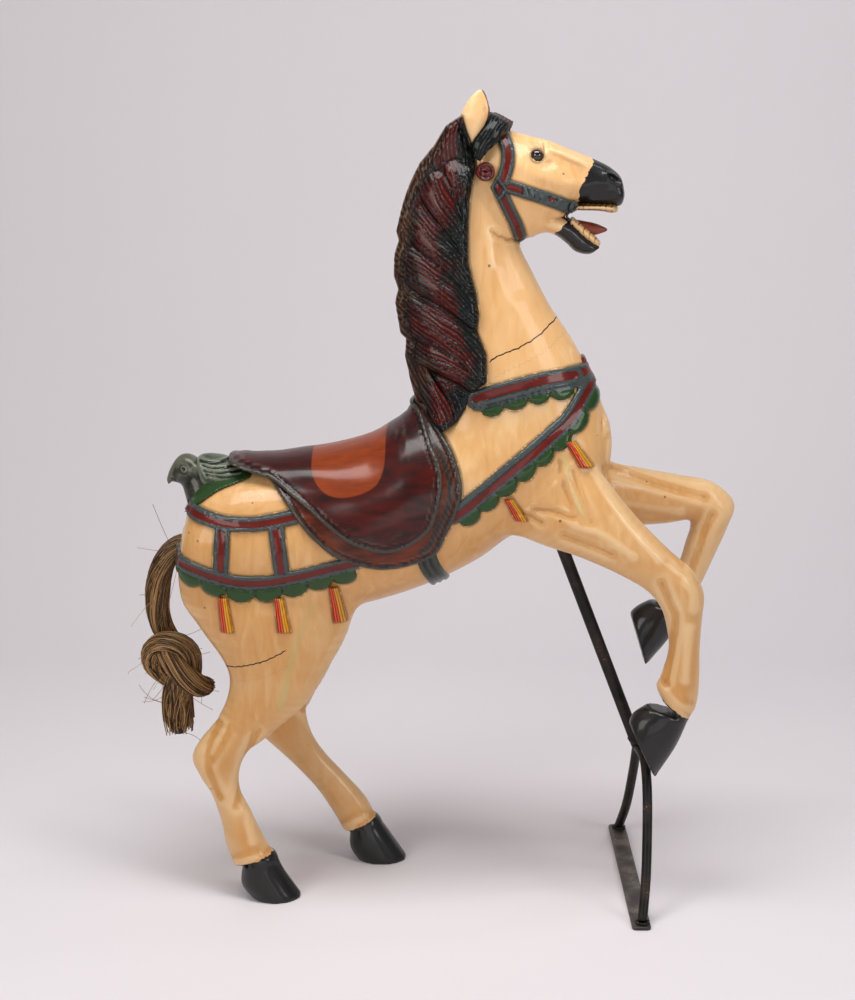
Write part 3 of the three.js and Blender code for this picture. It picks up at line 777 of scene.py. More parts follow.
@dataclass(frozen=True)
class CarvedColour:
    """One oil colour on carved wood under varnish, painted shade in the hollows and painted highlights on the ridges.
    """

    name: str
    deep: str
    colour: str
    painted_relief_light: str
    coat: float = 0.45
    roughness: float = 0.36

    def material(self) -> bpy.types.Material:
        """The finish as a material that reads cavity."""
        g = Graph(self.name)
        place = g.add(Op.PLACE)
        cloud = g.noise(place, 40.0, 5.0)
        fine = g.noise(place, 260.0, 4.0)
        cavity = g.read("cavity")
        colour = g.mix(g.step(cloud, 0.35, 0.65), self.deep, self.colour)
        # Painted shade: near-black in the hollows.
        sunk = g.times(g.step(cavity, 0.05, 0.8), 0.85)
        colour = g.mix(sunk, colour, "#0D0A07")
        # Painted highlight: the paler colour on the ridges.
        ridge = g.step(g.plus(cavity, fine), 0.3, -0.5)
        colour = g.mix(g.times(ridge, 0.7), colour, self.painted_relief_light)
        height = g.plus(cloud, g.times(fine, 0.4))
        bump = g.bump(height, 0.5, 0.0009)
        return g.finish(
            colour, self.roughness, bump, Coat_Weight=self.coat, Coat_Roughness=0.12, Specular_IOR_Level=0.2
        )


@dataclass(frozen=True)
class BarSteel:
    """Hot-rolled steel bar with mill scale and old black paint.

    The eye sees near-black with a dull sheen, brown where it has rusted, and bright scuffs.
    """

    name: str
    dark: str
    light: str
    scuffs: float

    def material(self) -> bpy.types.Material:
        """The finish as a material."""
        g = Graph(self.name)
        place = g.add(Op.PLACE)
        cloud = g.noise(place, 26.0, 6.0)
        fine = g.noise(place, 340.0, 4.0)
        colour = g.mix(g.step(cloud, 0.35, 0.7), self.dark, self.light)
        rust = g.step(g.times(cloud, fine), 0.30, 0.38)
        colour = g.mix(g.times(rust, 0.6), colour, "#4A2C18")
        bare = g.step(g.plus(fine, cloud), 1.28 - self.scuffs, 1.42 - self.scuffs)
        colour = g.mix(bare, colour, "#8C857C")
        rough = g.step(cloud, 0.2, 0.8, 0.32, 0.6)
        bump = g.bump(g.plus(cloud, fine), 0.5, 0.0006)
        return g.finish(colour, rough, bump, Metallic=0.55)


@dataclass(frozen=True)
class HairColour:
    """Horsehair: thin dark brown to tan fibres with a soft shine."""

    name: str
    dark: str
    light: str

    def material(self) -> bpy.types.Material:
        """The finish as a material that reads hair, a number from 0 to 1 for each fibre."""
        g = Graph(self.name)
        place = g.add(Op.PLACE)
        fine = g.noise(place, 420.0, 2.0)
        hair = g.read("hair")
        share = g.step(g.plus(hair, g.times(fine, 0.3)), 0.1, 1.05)
        colour = g.mix(share, self.dark, self.light)
        bump = g.bump(fine, 0.4, 0.0004)
        return g.finish(colour, 0.42, bump, Specular_IOR_Level=0.4)


@dataclass(frozen=True)
class EyeGlass:
    """Blown glass, painted brown-black behind: the eye sees a dark wet ball with a sharp glint."""

    colour: str = "#120906"

    def material(self) -> bpy.types.Material:
        """The finish as a material."""
        g = Graph("dark_glass_eye")
        place = g.add(Op.PLACE)
        cloud = g.noise(place, 160.0, 2.0)
        colour = g.mix(cloud, self.colour, "#2A1408")
        return g.finish(colour, 0.04, None, Coat_Weight=1.0, Coat_Roughness=0.02)


@dataclass(frozen=True)
class StudioPaper:
    """Matt grey studio paper."""

    colour: str = "#EBE5E8"

    def material(self) -> bpy.types.Material:
        """The finish as a material."""
        g = Graph("matt_studio_paper")
        place = g.add(Op.PLACE)
        cloud = g.noise(place, 1.2, 2.0)
        colour = g.mix(cloud, self.colour, "#E7E2E5")
        return g.finish(colour, 0.9)


def dress(piece: bpy.types.Object, material: bpy.types.Material, slot: str, *nodes: str) -> bpy.types.Object:
    """Gives a piece its material and its body, and hides the solids that it stands for.

    Args:
        piece: The piece.
        material: Its finish.
        slot: The record's material slot; not used.
        *nodes: Names of the solids that it replaces.

    Returns:
        The piece.
    """
    piece.data.materials.append(material)
    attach(piece, "root")
    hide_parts(*nodes)
    log.info("%s: %d faces", piece.name, len(piece.data.polygons))
    return piece


# ---------------------------------------------------------------------------
# The carved figure
# ---------------------------------------------------------------------------

TRUNK = (
    (-404, 628, -420, 548, 45),
    (-394, 660, -412, 510, 82),
    (-366, 690, -385, 482, 105),
    (-310, 706, -320, 470, 116),
    (-240, 714, -220, 470, 121),
    (-165, 727, -137, 480, 124),
    (-95, 751, -60, 501, 125),
    (-40, 785, 5, 526, 122),
    (25, 800, 69, 560, 116),
    (105, 800, 125, 600, 107),
    (185, 795, 190, 615, 90),
    (240, 780, 240, 645, 62),
    (264, 755, 262, 690, 28),
)
NECK = (
    (112, 1110, 10, 1218, 40),
    (128, 1062, -20, 1168, 45),
    (148, 1022, -40, 1095, 50),
    (177, 968, -48, 1015, 58),
    (210, 919, -46, 930, 68),
    (240, 865, -36, 860, 80),
    (264, 806, -25, 800, 86),
    (274, 743, -5, 740, 88),
    (266, 690, 30, 690, 70),
)
HEAD = (
    (50, 1222, 62, 1130, 36),
    (85, 1246, 100, 1082, 49),
    (115, 1237, 130, 1071, 53),
    (145, 1229, 160, 1080, 51),
    (176, 1221, 190, 1098, 45),
    (206, 1209, 214, 1124, 39),
    (236, 1197, 241, 1124, 35),
    (264, 1184, 266, 1124, 33),
    (283, 1169, 284, 1122, 28),
    (290, 1154, 290, 1127, 19),
)
JAW = (
    (140, 1125, 140, 1084, 36),
    (180, 1112, 178, 1080, 32),
    (210, 1098, 200, 1066, 27),
    (232, 1078, 216, 1052, 24),
    (247, 1066, 236, 1048, 21),
    (255, 1062, 251, 1055, 13),
)
NEAR_HIND = (
    (-165, 600, -395, 600, 40, 42),
    (-134, 510, -412, 512, 58, 52),
    (-144, 448, -385, 462, 56, 58),
    (-178, 385, -343, 400, 46, 64),
    (-213, 330, -335, 360, 38, 68),
    (-262, 286, -352, 312, 30, 71),
    (-306, 248, -396, 250, 27, 74),
    (-321, 214, -387, 212, 24, 76),
    (-316, 175, -367, 178, 21, 77),
    (-298, 132, -353, 132, 21, 78),
    (-280, 95, -346, 92, 25, 78),
    (-270, 76, -332, 56, 27, 78),
)
FAR_HIND = (
    (-165, 600, -395, 600, 40, 42),
    (-132, 510, -410, 512, 58, 52),
    (-140, 448, -382, 462, 56, 58),
    (-165, 385, -340, 400, 46, 64),
    (-188, 335, -324, 355, 38, 68),
    (-212, 292, -318, 302, 30, 71),
    (-221, 262, -322, 248, 27, 73),
    (-213, 226, -290, 216, 24, 74),
    (-190, 189, -247, 174, 21, 75),
    (-157, 152, -206, 128, 21, 75),
    (-122, 110, -178, 84, 25, 75),
    (-106, 77, -158, 50, 27, 75),
)
NEAR_FORE = (
    (230, 745, 105, 620, 40, 58),
    (273, 693, 165, 597, 42, 70),
    (318, 640, 225, 579, 38, 79),
    (362, 597, 285, 553, 33, 84),
    (400, 563, 330, 527, 30, 86),
    (422, 524, 353, 501, 29, 86),
    (421, 480, 364, 470, 25, 86),
    (419, 430, 367, 430, 22, 86),
    (420, 380, 358, 388, 24, 86),
    (417, 340, 353, 366, 26, 86),
    (403, 311, 361, 343, 26, 86),
)
FAR_FORE = (
    (225, 755, 110, 620, 40, 58),
    (280, 708, 240, 590, 42, 70),
    (336, 690, 325, 592, 37, 79),
    (403, 676, 382, 595, 33, 84),
    (455, 665, 418, 600, 30, 86),
    (494, 630, 422, 585, 29, 86),
    (484, 588, 415, 560, 26, 86),
    (466, 543, 407, 530, 23, 86),
    (447, 498, 392, 493, 24, 86),
    (430, 460, 377, 474, 26, 86),
    (416, 432, 370, 458, 26, 86),
)


@dataclass(frozen=True)
class Hoof:
    """A hoof: its paint line or coronet, the heel at its top, its fullest section and its sole.

    A section is a front point, a rear point and a half width.
    """

    coronet: tuple[float, ...]
    heel: tuple[float, float]
    bulb: tuple[float, ...]
    sole: tuple[float, ...]
    middle: float
    side: int

    def loft(self) -> Loft:
        """The hoof's form."""
        top = (*self.coronet[0:2], *self.heel, self.coronet[4])
        rows = tuple((*row, self.middle) for row in (top, self.bulb, self.sole))
        return Loft(rows, side=self.side, count=18, cap=2.0)

    def past_coronet(self, points: np.ndarray) -> np.ndarray:
        """How far points lie below the coronet's line, in millimetres; far above it away from this hoof."""
        front, rear = np.array(self.coronet[0:2]), np.array(self.coronet[2:4])
        along = (rear - front) / np.linalg.norm(rear - front)
        square = np.array([-along[1], along[0]])
        sole = (np.array(self.sole[0:2]) + np.array(self.sole[2:4])) / 2
        square = square * np.sign(((sole - front) * square).sum())
        flat = points[:, [0, 2]] - (front + rear) / 2
        near = (np.hypot(flat[:, 0], flat[:, 1]) < 135) & (points[:, 1] * self.side > 30)
        return np.where(near, flat @ square, -60.0)


HOOVES = (
    Hoof((-268, 80, -334, 58, 28), (-320, 55), (-251, 43, -322, 23, 34), (-223, 0, -305, 0, 36), 78, -1),
    Hoof((-104, 80, -160, 52, 28), (-150, 52), (-81, 46, -150, 22, 34), (-51, 0, -138, 0, 36), 75, 1),
    Hoof((405, 314, 357, 350, 28), (337, 335), (386, 267, 317, 321, 34), (353, 213, 309, 306, 35), 86, -1),
    Hoof((418, 436, 366, 464, 28), (359, 461), (390, 392, 337, 449, 34), (354, 347, 326, 438, 35), 86, 1),
)

BODY_STROKES = (
    Stroke(((190, 736), (198, 701), (210, 669), (226, 645)), 7, -3.5),
    Stroke(((209, 722), (222, 684), (239, 644)), 6, -3.0),
    Stroke(((200, 725), (210, 690), (230, 648)), 5, 2.0),
    Stroke(((118, 657), (145, 650), (163, 639)), 4, -3.5),
    Stroke(((152, 660), (179, 659), (212, 649)), 4, -3.0),
    Stroke(((198, 620), (239, 606), (273, 592)), 5, -3.5),
    Stroke(((245, 718), (270, 676), (306, 628), (346, 585)), 8, 3.5, Side.NEAR),
    Stroke(((268, 716), (300, 672), (345, 620), (385, 575)), 7, -2.5, Side.NEAR),
    Stroke(((215, 640), (262, 622), (305, 590)), 9, 3.0, Side.NEAR),
    Stroke(((392, 545), (402, 528), (404, 505)), 9, 3.0, Side.NEAR),
    Stroke(((352, 545), (368, 508), (376, 484), (372, 430), (364, 378)), 5.5, -4.0, Side.NEAR),
    Stroke(((398, 470), (396, 430), (394, 385)), 8, 2.5, Side.NEAR),
    Stroke(((285, 696), (337, 676), (387, 660), (440, 645)), 7, -5.0, Side.FAR),
    Stroke(((300, 640), (350, 630), (400, 622)), 9, 3.0, Side.FAR),
    Stroke(((455, 615), (446, 593), (432, 545), (420, 505)), 6, -4.5, Side.FAR),
    Stroke(((-330, 300), (-348, 268), (-362, 244)), 5, -1.6, Side.NEAR),
    Stroke(((-290, 292), (-306, 250), (-318, 205), (-325, 165)), 6, -3.5, Side.NEAR),
    Stroke(((-352, 300), (-368, 262), (-368, 225), (-352, 180)), 7, -2.5, Side.NEAR),
    Stroke(((-300, 175), (-306, 140), (-300, 105)), 7, 2.0, Side.NEAR),
    Stroke(((-196, 300), (-184, 274), (-168, 248)), 6, -4.5, Side.FAR),
    Stroke(((-236, 292), (-205, 248), (-165, 196), (-140, 150)), 6, -4.0, Side.FAR),
    Stroke(((-150, 545), (-160, 480), (-190, 420)), 12, -2.5),
    Stroke(((-262, 70), (-300, 76), (-336, 62)), 6, 2.0, Side.NEAR),
    Stroke(((-98, 72), (-130, 80), (-162, 58)), 6, 2.0, Side.FAR),
    Stroke(((410, 330), (385, 345), (356, 368)), 6, 2.0, Side.NEAR),
    Stroke(((425, 450), (400, 462), (368, 480)), 6, 2.0, Side.FAR),
    Stroke(((80, 1089), (97, 1077), (126, 1071)), 2.6, -5.0),
    Stroke(((80, 1088), (81, 1062), (84, 1036)), 7, 2.5),
    Stroke(((102, 1066), (108, 1040), (122, 1000)), 14, -4.0),
)
HEAD_STROKES = (
    Stroke(((138, 1190), (152, 1184), (170, 1190)), 9, -2.5),
    Stroke(((190, 1206), (212, 1197), (236, 1186)), 8, 2.0),
    Stroke(((128, 1190), (160, 1174), (195, 1158), (218, 1148)), 10, 3.0),
    Stroke(((176, 1192), (200, 1181), (226, 1170)), 9, -3.0),
    Stroke(((112, 1172), (145, 1160), (180, 1146)), 8, -1.5),
    Stroke(((118, 1132), (124, 1108), (136, 1088)), 16, 3.0),
    Stroke(((262, 1152), (242, 1146), (228, 1134)), 6, -2.0),
    Stroke(((282, 1138), (262, 1132), (240, 1132)), 5, 2.0),
)
EYE = (152.0, 35.0, 1201.0)
EYE_RADIUS = 9.5
EAR = (
    (54, 1219, 50, 1219, 4, 46),
    (62, 1229, 46, 1229, 11, 46),
    (68, 1239, 42, 1239, 14, 46),
    (74, 1250, 38, 1250, 15, 46),
    (79, 1260, 36, 1260, 14, 47),
    (81, 1268, 39, 1268, 12, 48),
    (78, 1279, 45, 1279, 9, 49),
    (74, 1290, 53, 1290, 5, 50),
    (68, 1300, 64, 1300, 2, 50),
)
EAR_HOLLOW = (
    (90, 1236, 66, 1236, 5, 42),
    (92, 1250, 64, 1250, 8, 43),
    (92, 1264, 66, 1264, 7, 44),
    (88, 1278, 69, 1278, 5, 46),
    (80, 1290, 70, 1290, 2, 48),
)
FORELOCK = (
    (34, 1258, 36, 1206, 34),
    (56, 1264, 54, 1208, 38),
    (78, 1265, 74, 1216, 38),
    (96, 1261, 90, 1228, 32),
    (116, 1248, 108, 1234, 20),
)
LOCK_SECTIONS = (
    (88, 1265, 117, 1250, 14, 10),
    (80, 1263, 110, 1244, 17, 28),
    (69, 1248, 101, 1233, 16, 42),
    (58, 1231, 88, 1219, 12, 51),
    (53, 1216, 74, 1206, 9, 55),
    (56, 1200, 64, 1193, 5, 56),
)
HEAD_CUT = np.array(
    [(700, 1000), (150, 1040), (112, 1110), (88, 1160), (74, 1180), (60, 1200), (32, 1216), (26, 1310)], float
)
MUZZLE = np.array(
    [(243, 1202), (237, 1185), (229, 1173), (227, 1165), (217, 1151), (218, 1130), (214, 1117), (206, 1104)]
    + [(195, 1093), (181, 1080), (175, 1035), (310, 1035), (310, 1202)],
    float,
)
MOUTH = np.array([(190, 1106), (222, 1119), (290, 1118), (290, 1100), (262, 1064), (232, 1080), (205, 1099)], float)
NECK_CRACK = np.array([(78, 886), (89, 895), (108, 903), (127, 910), (158, 927), (173, 940), (190, 952)], float)
HIND_CRACK = np.array([(-344, 397), (-318, 402), (-300, 407), (-280, 413), (-260, 422), (-238, 434)], float)


@dataclass(frozen=True)
class HorseForm:
    """The whole carved figure as one distance, without its trappings, saddle and mane."""

    def distance(self, grid: Grid, details: bool = True) -> np.ndarray:
        """Distances at a grid's samples.

        The oval forms are joined with fillets, the strokes are added as relief, and the result is divided by
        its slope.

        Args:
            grid: The samples.
            details: Whether the eyes' and nostrils' hollows are cut.

        Returns:
            The distances, negative inside the wood.
        """
        shape = tuple(len(grid.axis(k)) for k in range(3))
        total = np.full(shape, FAR_OFF, np.float32)
        masses = (
            (Loft(TRUNK, count=52, cap=14), 1.0),
            (Loft(NECK, cap=14), 40.0),
            (Loft(NEAR_HIND, side=-1), 24.0),
            (Loft(FAR_HIND, side=1), 24.0),
            (Loft(NEAR_FORE, side=-1), 22.0),
            (Loft(FAR_FORE, side=1), 22.0),
            (Loft(HEAD, count=40, cap=12), 20.0),
            (Loft(JAW, count=24, cap=6), 6.0),
            *((hoof.loft(), 3.0) for hoof in HOOVES),
            *((Loft(EAR, side=side, count=24, cap=2), 5.0) for side in (-1, 1)),
        )
        for mass, fillet in masses:
            part = mass.distance(grid)
            if isinstance(part, np.ndarray):
                total = blend(total, part.astype(np.float32), fillet)
        y = grid.axis(1)[None, :, None]
        if details and grid.high[2] > 1200:
            total = self.cut_head(total, grid)
        total = even_slope(total, grid.pitch)
        relief = np.where(
            y < 0,
            carve(BODY_STROKES + HEAD_STROKES, grid, Side.NEAR)[:, None, :],
            carve(BODY_STROKES + HEAD_STROKES, grid, Side.FAR)[:, None, :],
        )
        return total - relief * ramp(np.abs(y), 4, 22)

    def cut_head(self, total: np.ndarray, grid: Grid) -> np.ndarray:
        """Adds lids round the eyes, and cuts the sockets, nostrils and the hollows of the ears."""
        x = grid.axis(0)[:, None, None]
        y = np.abs(grid.axis(1))[None, :, None]
        z = grid.axis(2)[None, None, :]
        ex, ey, ez = EYE
        shelf = 8.5 * ramp(x, 136, 163) * ramp(164.5 - x, 0, 1.6) * ramp(z, 1203, 1209) * ramp(y, 8, 20)
        crest = 4.0 * bell((z - 1211) + (x - 173) * 0.43, 5.0) * ramp(x, 168, 176) * ramp(236 - x, 0, 20)
        total = total + shelf * ramp(1236 - z, 0, 4) - crest
        ball = np.sqrt((x - ex) ** 2 + (y - ey) ** 2 + (z - ez) ** 2) - EYE_RADIUS - 0.5
        lid = np.sqrt((np.hypot(x - ex, z - ez) - EYE_RADIUS - 1.2) ** 2 + (y - ey - 3.0) ** 2) - 1.6
        total = np.maximum(blend(total, lid, 4.0), -ball)
        steep = ((z - 1165 + (x - 272) * 0.5) / 5.5) ** 2
        nostril = (np.sqrt(((x - 272) / 10) ** 2 + ((y - 27) / 7) ** 2 + steep) - 1) * 6
        rim = np.abs(nostril - 1.5) - 1.6
        total = blend(total, np.maximum(rim, total - 2.5), 3.0)
        total = -blend(-total, nostril, 3.0)
        for side in (-1, 1):
            hollow = Loft(EAR_HOLLOW, side=side, count=20, cap=2).distance(grid)
            if isinstance(hollow, np.ndarray):
                total = -blend(-total, hollow.astype(np.float32), 2.0)
        return total


FORM = HorseForm()


def crack_measures(points: np.ndarray) -> tuple[np.ndarray, np.ndarray]:
    """The signed distance to the nearest open joint, and one near it falling to nought past its ends."""
    x, z = points[:, 0], points[:, 2]
    best = np.full(len(points), 40.0)
    near = np.zeros(len(points))
    for line in (NECK_CRACK, HIND_CRACK):
        jagged = smooth_line(line, 40)
        jagged[:, 1] += 1.5 * np.sin(np.arange(40) * 2.4) * np.sin(np.arange(40) * 0.9)
        t, along, length = along_line(x, z, jagged)
        inner = np.minimum(along, length - along)
        here = (np.abs(t) < 25) & (points[:, 1] < 0)
        best = np.where(here, t, best)
        near = np.where(here, ramp(inner, 0.5, 5), near)
    return best, near


@dataclass(frozen=True)
class CarvedFigure:
    """The carved wood itself: one piece for the body and one, at a finer pitch, for the head."""

    body_grid: Grid = Grid((-452, -150, -8), (506, 150, 1262), 4.6)
    head_grid: Grid = Grid((20, -66, 1036), (300, 66, 1308), 2.0)
    lap: float = 1.2

    def measures(self, volume: np.ndarray, grid: Grid, points: np.ndarray) -> dict[str, np.ndarray]:
        """What the body's paint reads at each vertex: hollows, black and red areas, edges, washes and cracks."""
        x, z = points[:, 0], points[:, 2]
        black = np.maximum.reduce([hoof.past_coronet(points) for hoof in HOOVES] + [-outside(x, z, MUZZLE)])
        wash = bell(along_line(x, z, smooth_line(np.array([(200, 740), (205, 700), (228, 650)]), 8))[0], 8)
        wash += bell(along_line(x, z, smooth_line(np.array([(-200, 500), (-230, 420), (-250, 330)]), 8))[0], 12)
        crack, crack_near = crack_measures(points)
        # Distances to the edges of the raised parts and of the eye; the paint draws a painted shade line along them.
        edges = [work.measures(x, z)["mask"] for work in (CRUPPER, BREASTWORK)]
        edges += [outside(x, z, SKIRT_EDGE), outside(x, z, WING_EDGE), outside(x, z, MANE_EDGE)]
        edges += [BRIDLE.measures(x, z)["mask"], np.hypot(x - EYE[0], z - EYE[2]) - EYE_RADIUS - 0.5]
        away = np.minimum.reduce(edges)
        rim = np.interp(z, [1236, 1250, 1262, 1270, 1281, 1291, 1300], [70, 75, 78, 79, 77, 73, 67.5])
        return {
            "cavity": hollows(volume, grid, points, 2),
            "black": black,
            "red": np.where(z > 1238, x - rim + 2.2, -outside(x, z, MOUTH)),
            # Falls with height: the paint turns darker and browner towards the bottom.
            "glaze": np.interp(z, [0, 420, 640, 800, 900, 1050], [1.2, 1.1, 0.75, 0.5, 0.25, 0.1]),
            "edge": np.where(away < -2, 9.0, away),
            "wash": np.clip(wash, 0, 1),
            "crack": crack,
            "crack_near": crack_near,
        }

    def build(self) -> None:
        """Makes and dresses the body and the head."""
        finish = CreamBody().material()
        for name, grid, turn in (("horse_body", self.body_grid, 1), ("horse_head", self.head_grid, -1)):
            volume = FORM.distance(grid)
            x, z = grid.plan
            cut = along_line(x, z, HEAD_CUT)[0] * turn - self.lap
            whole = np.maximum(volume, -cut[:, None, :] - 2 * self.lap if turn > 0 else -cut[:, None, :] - 2 * self.lap)
            points, quads = skin_of(whole, grid)
            piece = make_mesh(name, points, quads, self.measures(volume, grid, points))
            dress(piece, finish, "painted_wood", "carved_horse")


# ---------------------------------------------------------------------------
# Layers that stand proud of the wood
# ---------------------------------------------------------------------------


def near_wood(wood: np.ndarray, cells: int) -> np.ndarray:
    """The wood's distance, made large past so many cells from the wood, where the sampled field may fold."""
    near = wood < 0
    for _ in range(cells):
        near = near | np.logical_or.reduce([np.roll(near, step, axis) for axis in range(3) for step in (1, -1)])
    return np.where(near, wood, NO_WOOD)


def layer(wood: np.ndarray, mask: np.ndarray, height: np.ndarray, sink: float = 3.0) -> np.ndarray:
    """A layer over the wood: inside its outline, under its height, and above a depth sunk in the wood."""
    flat = mask[:, None, :] if mask.ndim == 2 else mask
    tall = height[:, None, :] if height.ndim == 2 else height
    return np.maximum(np.maximum(wood - tall, flat), -(wood + sink))


@dataclass(frozen=True)
class Strap:
    """A strap along a line seen from the side, drawn so that its left is its upper edge."""

    line: tuple[tuple[float, float], ...]
    width: float
    scallops: int = 0
    hang: float = 0.0
    shift: float = 0.0


@dataclass(frozen=True)
class Tassel:
    """A tassel that hangs from its top at x, z, leaning forward as it drops."""

    x: float
    z: float
    lean: float
    drop: float
    width: float

    def outline(self) -> np.ndarray:
        """The corners, top left first."""
        low, foot = self.z - self.drop, self.x + self.lean
        half, wide = self.width / 2, self.width * 0.7
        return np.array([(self.x - half, self.z), (self.x + half, self.z), (foot + wide, low), (foot - wide, low)])


@dataclass(frozen=True)
class StrapWork:
    """Straps with raised edges, scallops under them and tassels, all carved on the body."""

    name: str
    grid: Grid
    straps: tuple[Strap, ...]
    tassels: tuple[Tassel, ...] = ()
    peak: tuple[tuple[float, float], ...] = ()
    height: float = 5.0
    engraved: float = 999.0

    def measures(self, x: np.ndarray, z: np.ndarray) -> dict[str, np.ndarray]:
        """The outline, height and paint measures at points seen from the side.

        A strap's edge bead is a bell at 0.78 of the half width. A scallop is a disc of radius a little over half
        the pitch, its middle up by its radius from the hem's depth.
        """
        x, z = np.broadcast_arrays(x, z)
        strap_mask = np.full(x.shape, NONE_NEAR)
        mid = np.ones(x.shape)
        lobe_mask = np.full(x.shape, NONE_NEAR)
        lobe = np.full(x.shape, 2.0)
        lobe_rise = np.zeros(x.shape)
        for strap in self.straps:
            t, along, length = along_line(x, z, smooth_line(np.array(strap.line, float), 5 * len(strap.line)))
            mask = np.abs(t) - strap.width / 2
            wins = (mask < strap_mask) & (strap_mask > 0)
            mid = np.where(wins, np.abs(t - strap.shift) * 2 / strap.width, mid)
            mid = np.where(wins & (mask > -0.16 * strap.width), 0.9, mid)
            strap_mask = np.minimum(strap_mask, mask)
            if strap.scallops:
                pitch = length / strap.scallops
                place = along / pitch
                u = (place - np.floor(place)) * 2 - 1
                below = -t - strap.width / 2
                radius = pitch * 0.62
                drop = below - (strap.hang - radius)
                sideways = np.abs(u) * pitch / 2
                disc = np.where(drop > 0, np.hypot(sideways, drop), sideways) - radius
                disc = np.maximum(disc, -below - 3.0)
                disc = np.where((along <= 0) | (along >= length), np.maximum(disc, np.abs(t) - 9), disc)
                here = disc < lobe_mask
                lobe = np.where(here, disc / radius + 1, lobe)
                rise = 1.6 * (1 - ((below / strap.hang) * 0.4) ** 2) + 1.2 * u
                rise -= 3.0 * bell((1 - np.abs(u)) * pitch / 2, 1.3)
                lobe_rise = np.where(here, rise, lobe_rise)
                lobe_mask = np.minimum(lobe_mask, disc)
        tassel_mask = np.full(x.shape, NONE_NEAR)
        tassel_u = np.zeros(x.shape)
        for tassel in self.tassels:
            mask = outside(x, z, tassel.outline())
            share = np.clip((tassel.z - z) / tassel.drop, 0, 1)
            half = tassel.width * (0.5 + 0.2 * share)
            u = (x - tassel.x - tassel.lean * share) / half
            tassel_u = np.where(mask < tassel_mask, np.clip(u, -1.2, 1.2), tassel_u)
            tassel_mask = np.minimum(tassel_mask, mask)
        cut = ramp(x, self.engraved, self.engraved + 6) * (mid < 0.62)
        marks = np.sin(x * 0.62 + 2.2 * np.sin(z * 0.16 + x * 0.13))
        mid = np.where(cut > 0.5, np.maximum(mid, 0.6 - 0.5 * bell(x - 176, 5) * (z > 1132)), mid)
        rounding = np.sqrt(np.clip(-strap_mask / 2.0, 0.02, 1))
        strap_height = (self.height - 0.8 + 2.6 * bell(mid - 0.72, 0.19)) * (0.3 + 0.7 * rounding) + 0.9 * cut * marks
        lobe_height = (self.height - 0.5 + lobe_rise) * (0.25 + 0.75 * np.sqrt(np.clip(-lobe_mask / 6.0, 0.01, 1)))
        tassel_height = 4 + 5 * np.sqrt(np.clip(1 - tassel_u**2, 0.05, 1)) + 0.5 * np.sin(tassel_u * 15)
        height = np.where(lobe_mask < 0, lobe_height, 1.0)
        height = np.where(strap_mask < 0, np.maximum(height, strap_height), height)
        height = np.where(tassel_mask < 0, np.maximum(height, tassel_height), height)
        return {
            "mask": np.minimum.reduce([strap_mask, lobe_mask, tassel_mask]),
            "height": height,
            "mid": mid,
            "off": strap_mask,
            "lobe": lobe,
            "tassel": tassel_mask,
            "tassel_u": tassel_u,
        }

    def build(self, finish: bpy.types.Material, slot: str) -> None:
        """Makes and dresses the piece."""
        wood = FORM.distance(self.grid)
        x, z = self.grid.plan
        seen = self.measures(x, z)
        mask = seen["mask"][:, None, :]
        height = seen["height"]
        if self.peak:
            y = np.abs(self.grid.axis(1))[None, :, None]
            top = outside(x, z, np.array(self.peak))
            mask = np.minimum(mask, np.maximum(top[:, None, :], y - 17))
            height = np.where((top < 0) & (seen["mask"] > 0), self.height, height)
        volume = layer(near_wood(wood, 5), np.broadcast_to(mask, wood.shape), height)
        points, quads = skin_of(volume, self.grid)
        at = self.measures(points[:, 0], points[:, 2])
        if self.peak:
            above = (at["mask"] > 0.5) & (points[:, 2] > 868)
            at["off"], at["mid"] = np.where(above, -2, at["off"]), np.where(above, 0.3, at["mid"])
        kept = {key: at[key] for key in ("mid", "off", "lobe", "tassel", "tassel_u")}
        kept["cavity"] = hollows(volume, self.grid, points, 2)
        dress(make_mesh(self.name, points, quads, kept), finish, slot, "carved_horse")


CRUPPER = StrapWork(
    name="crupper_trappings",
    grid=Grid((-456, -140, 448), (-112, 140, 690), 2.5),
    straps=(
        Strap(
            ((-470, 692), (-432, 672), (-408, 660), (-387, 651), (-367, 646), (-334, 639), (-292, 638))
            + ((-251, 644), (-205, 655)),
            22,
        ),
        Strap(
            ((-474, 613), (-440, 592), (-412, 574), (-383, 564), (-349, 553), (-310, 545), (-265, 546), (-213, 557))
            + ((-174, 568), (-130, 579)),
            23,
            9,
            22,
        ),
        Strap(((-335, 634), (-340, 552)), 25),
        Strap(((-251, 636), (-242, 555)), 25),
    ),
    tassels=(Tassel(-338, 519, 6, 57, 15), Tassel(-249, 520, 8, 56, 15), Tassel(-163, 536, 10, 63, 15)),
)
BREASTWORK = StrapWork(
    name="breast_trappings",
    grid=Grid((18, -128, 604), (290, 128, 912), 2.5),
    straps=(
        Strap(
            ((26, 654), (43, 667), (78, 695), (112, 723), (147, 751), (182, 780), (206, 801), (240, 850)),
            26,
            8,
            18,
            -3,
        ),
        Strap(((62, 829), (97, 840), (159, 855), (212, 861)), 33, 4, 15, 5),
        Strap(((205, 861), (236, 863), (272, 863)), 33, 0, 0, 5),
    ),
    tassels=(Tassel(208, 765, 26, 40, 16), Tassel(111, 679, 21, 38, 14)),
    peak=((212, 866), (230, 890), (246, 890), (264, 866)),
)
BRIDLE = StrapWork(
    name="bridle",
    grid=Grid((50, -64, 1050), (235, 64, 1258), 2.0),
    straps=(
        Strap(((99, 1240), (101, 1228), (107, 1209), (106, 1187), (100, 1166)), 21),
        Strap(((100, 1158), (131, 1148), (168, 1136), (203, 1122), (212, 1118)), 21),
        Strap(((97, 1144), (103, 1132), (112, 1114), (121, 1096), (128, 1077)), 20),
    ),
    height=4.5,
    engraved=128,
)

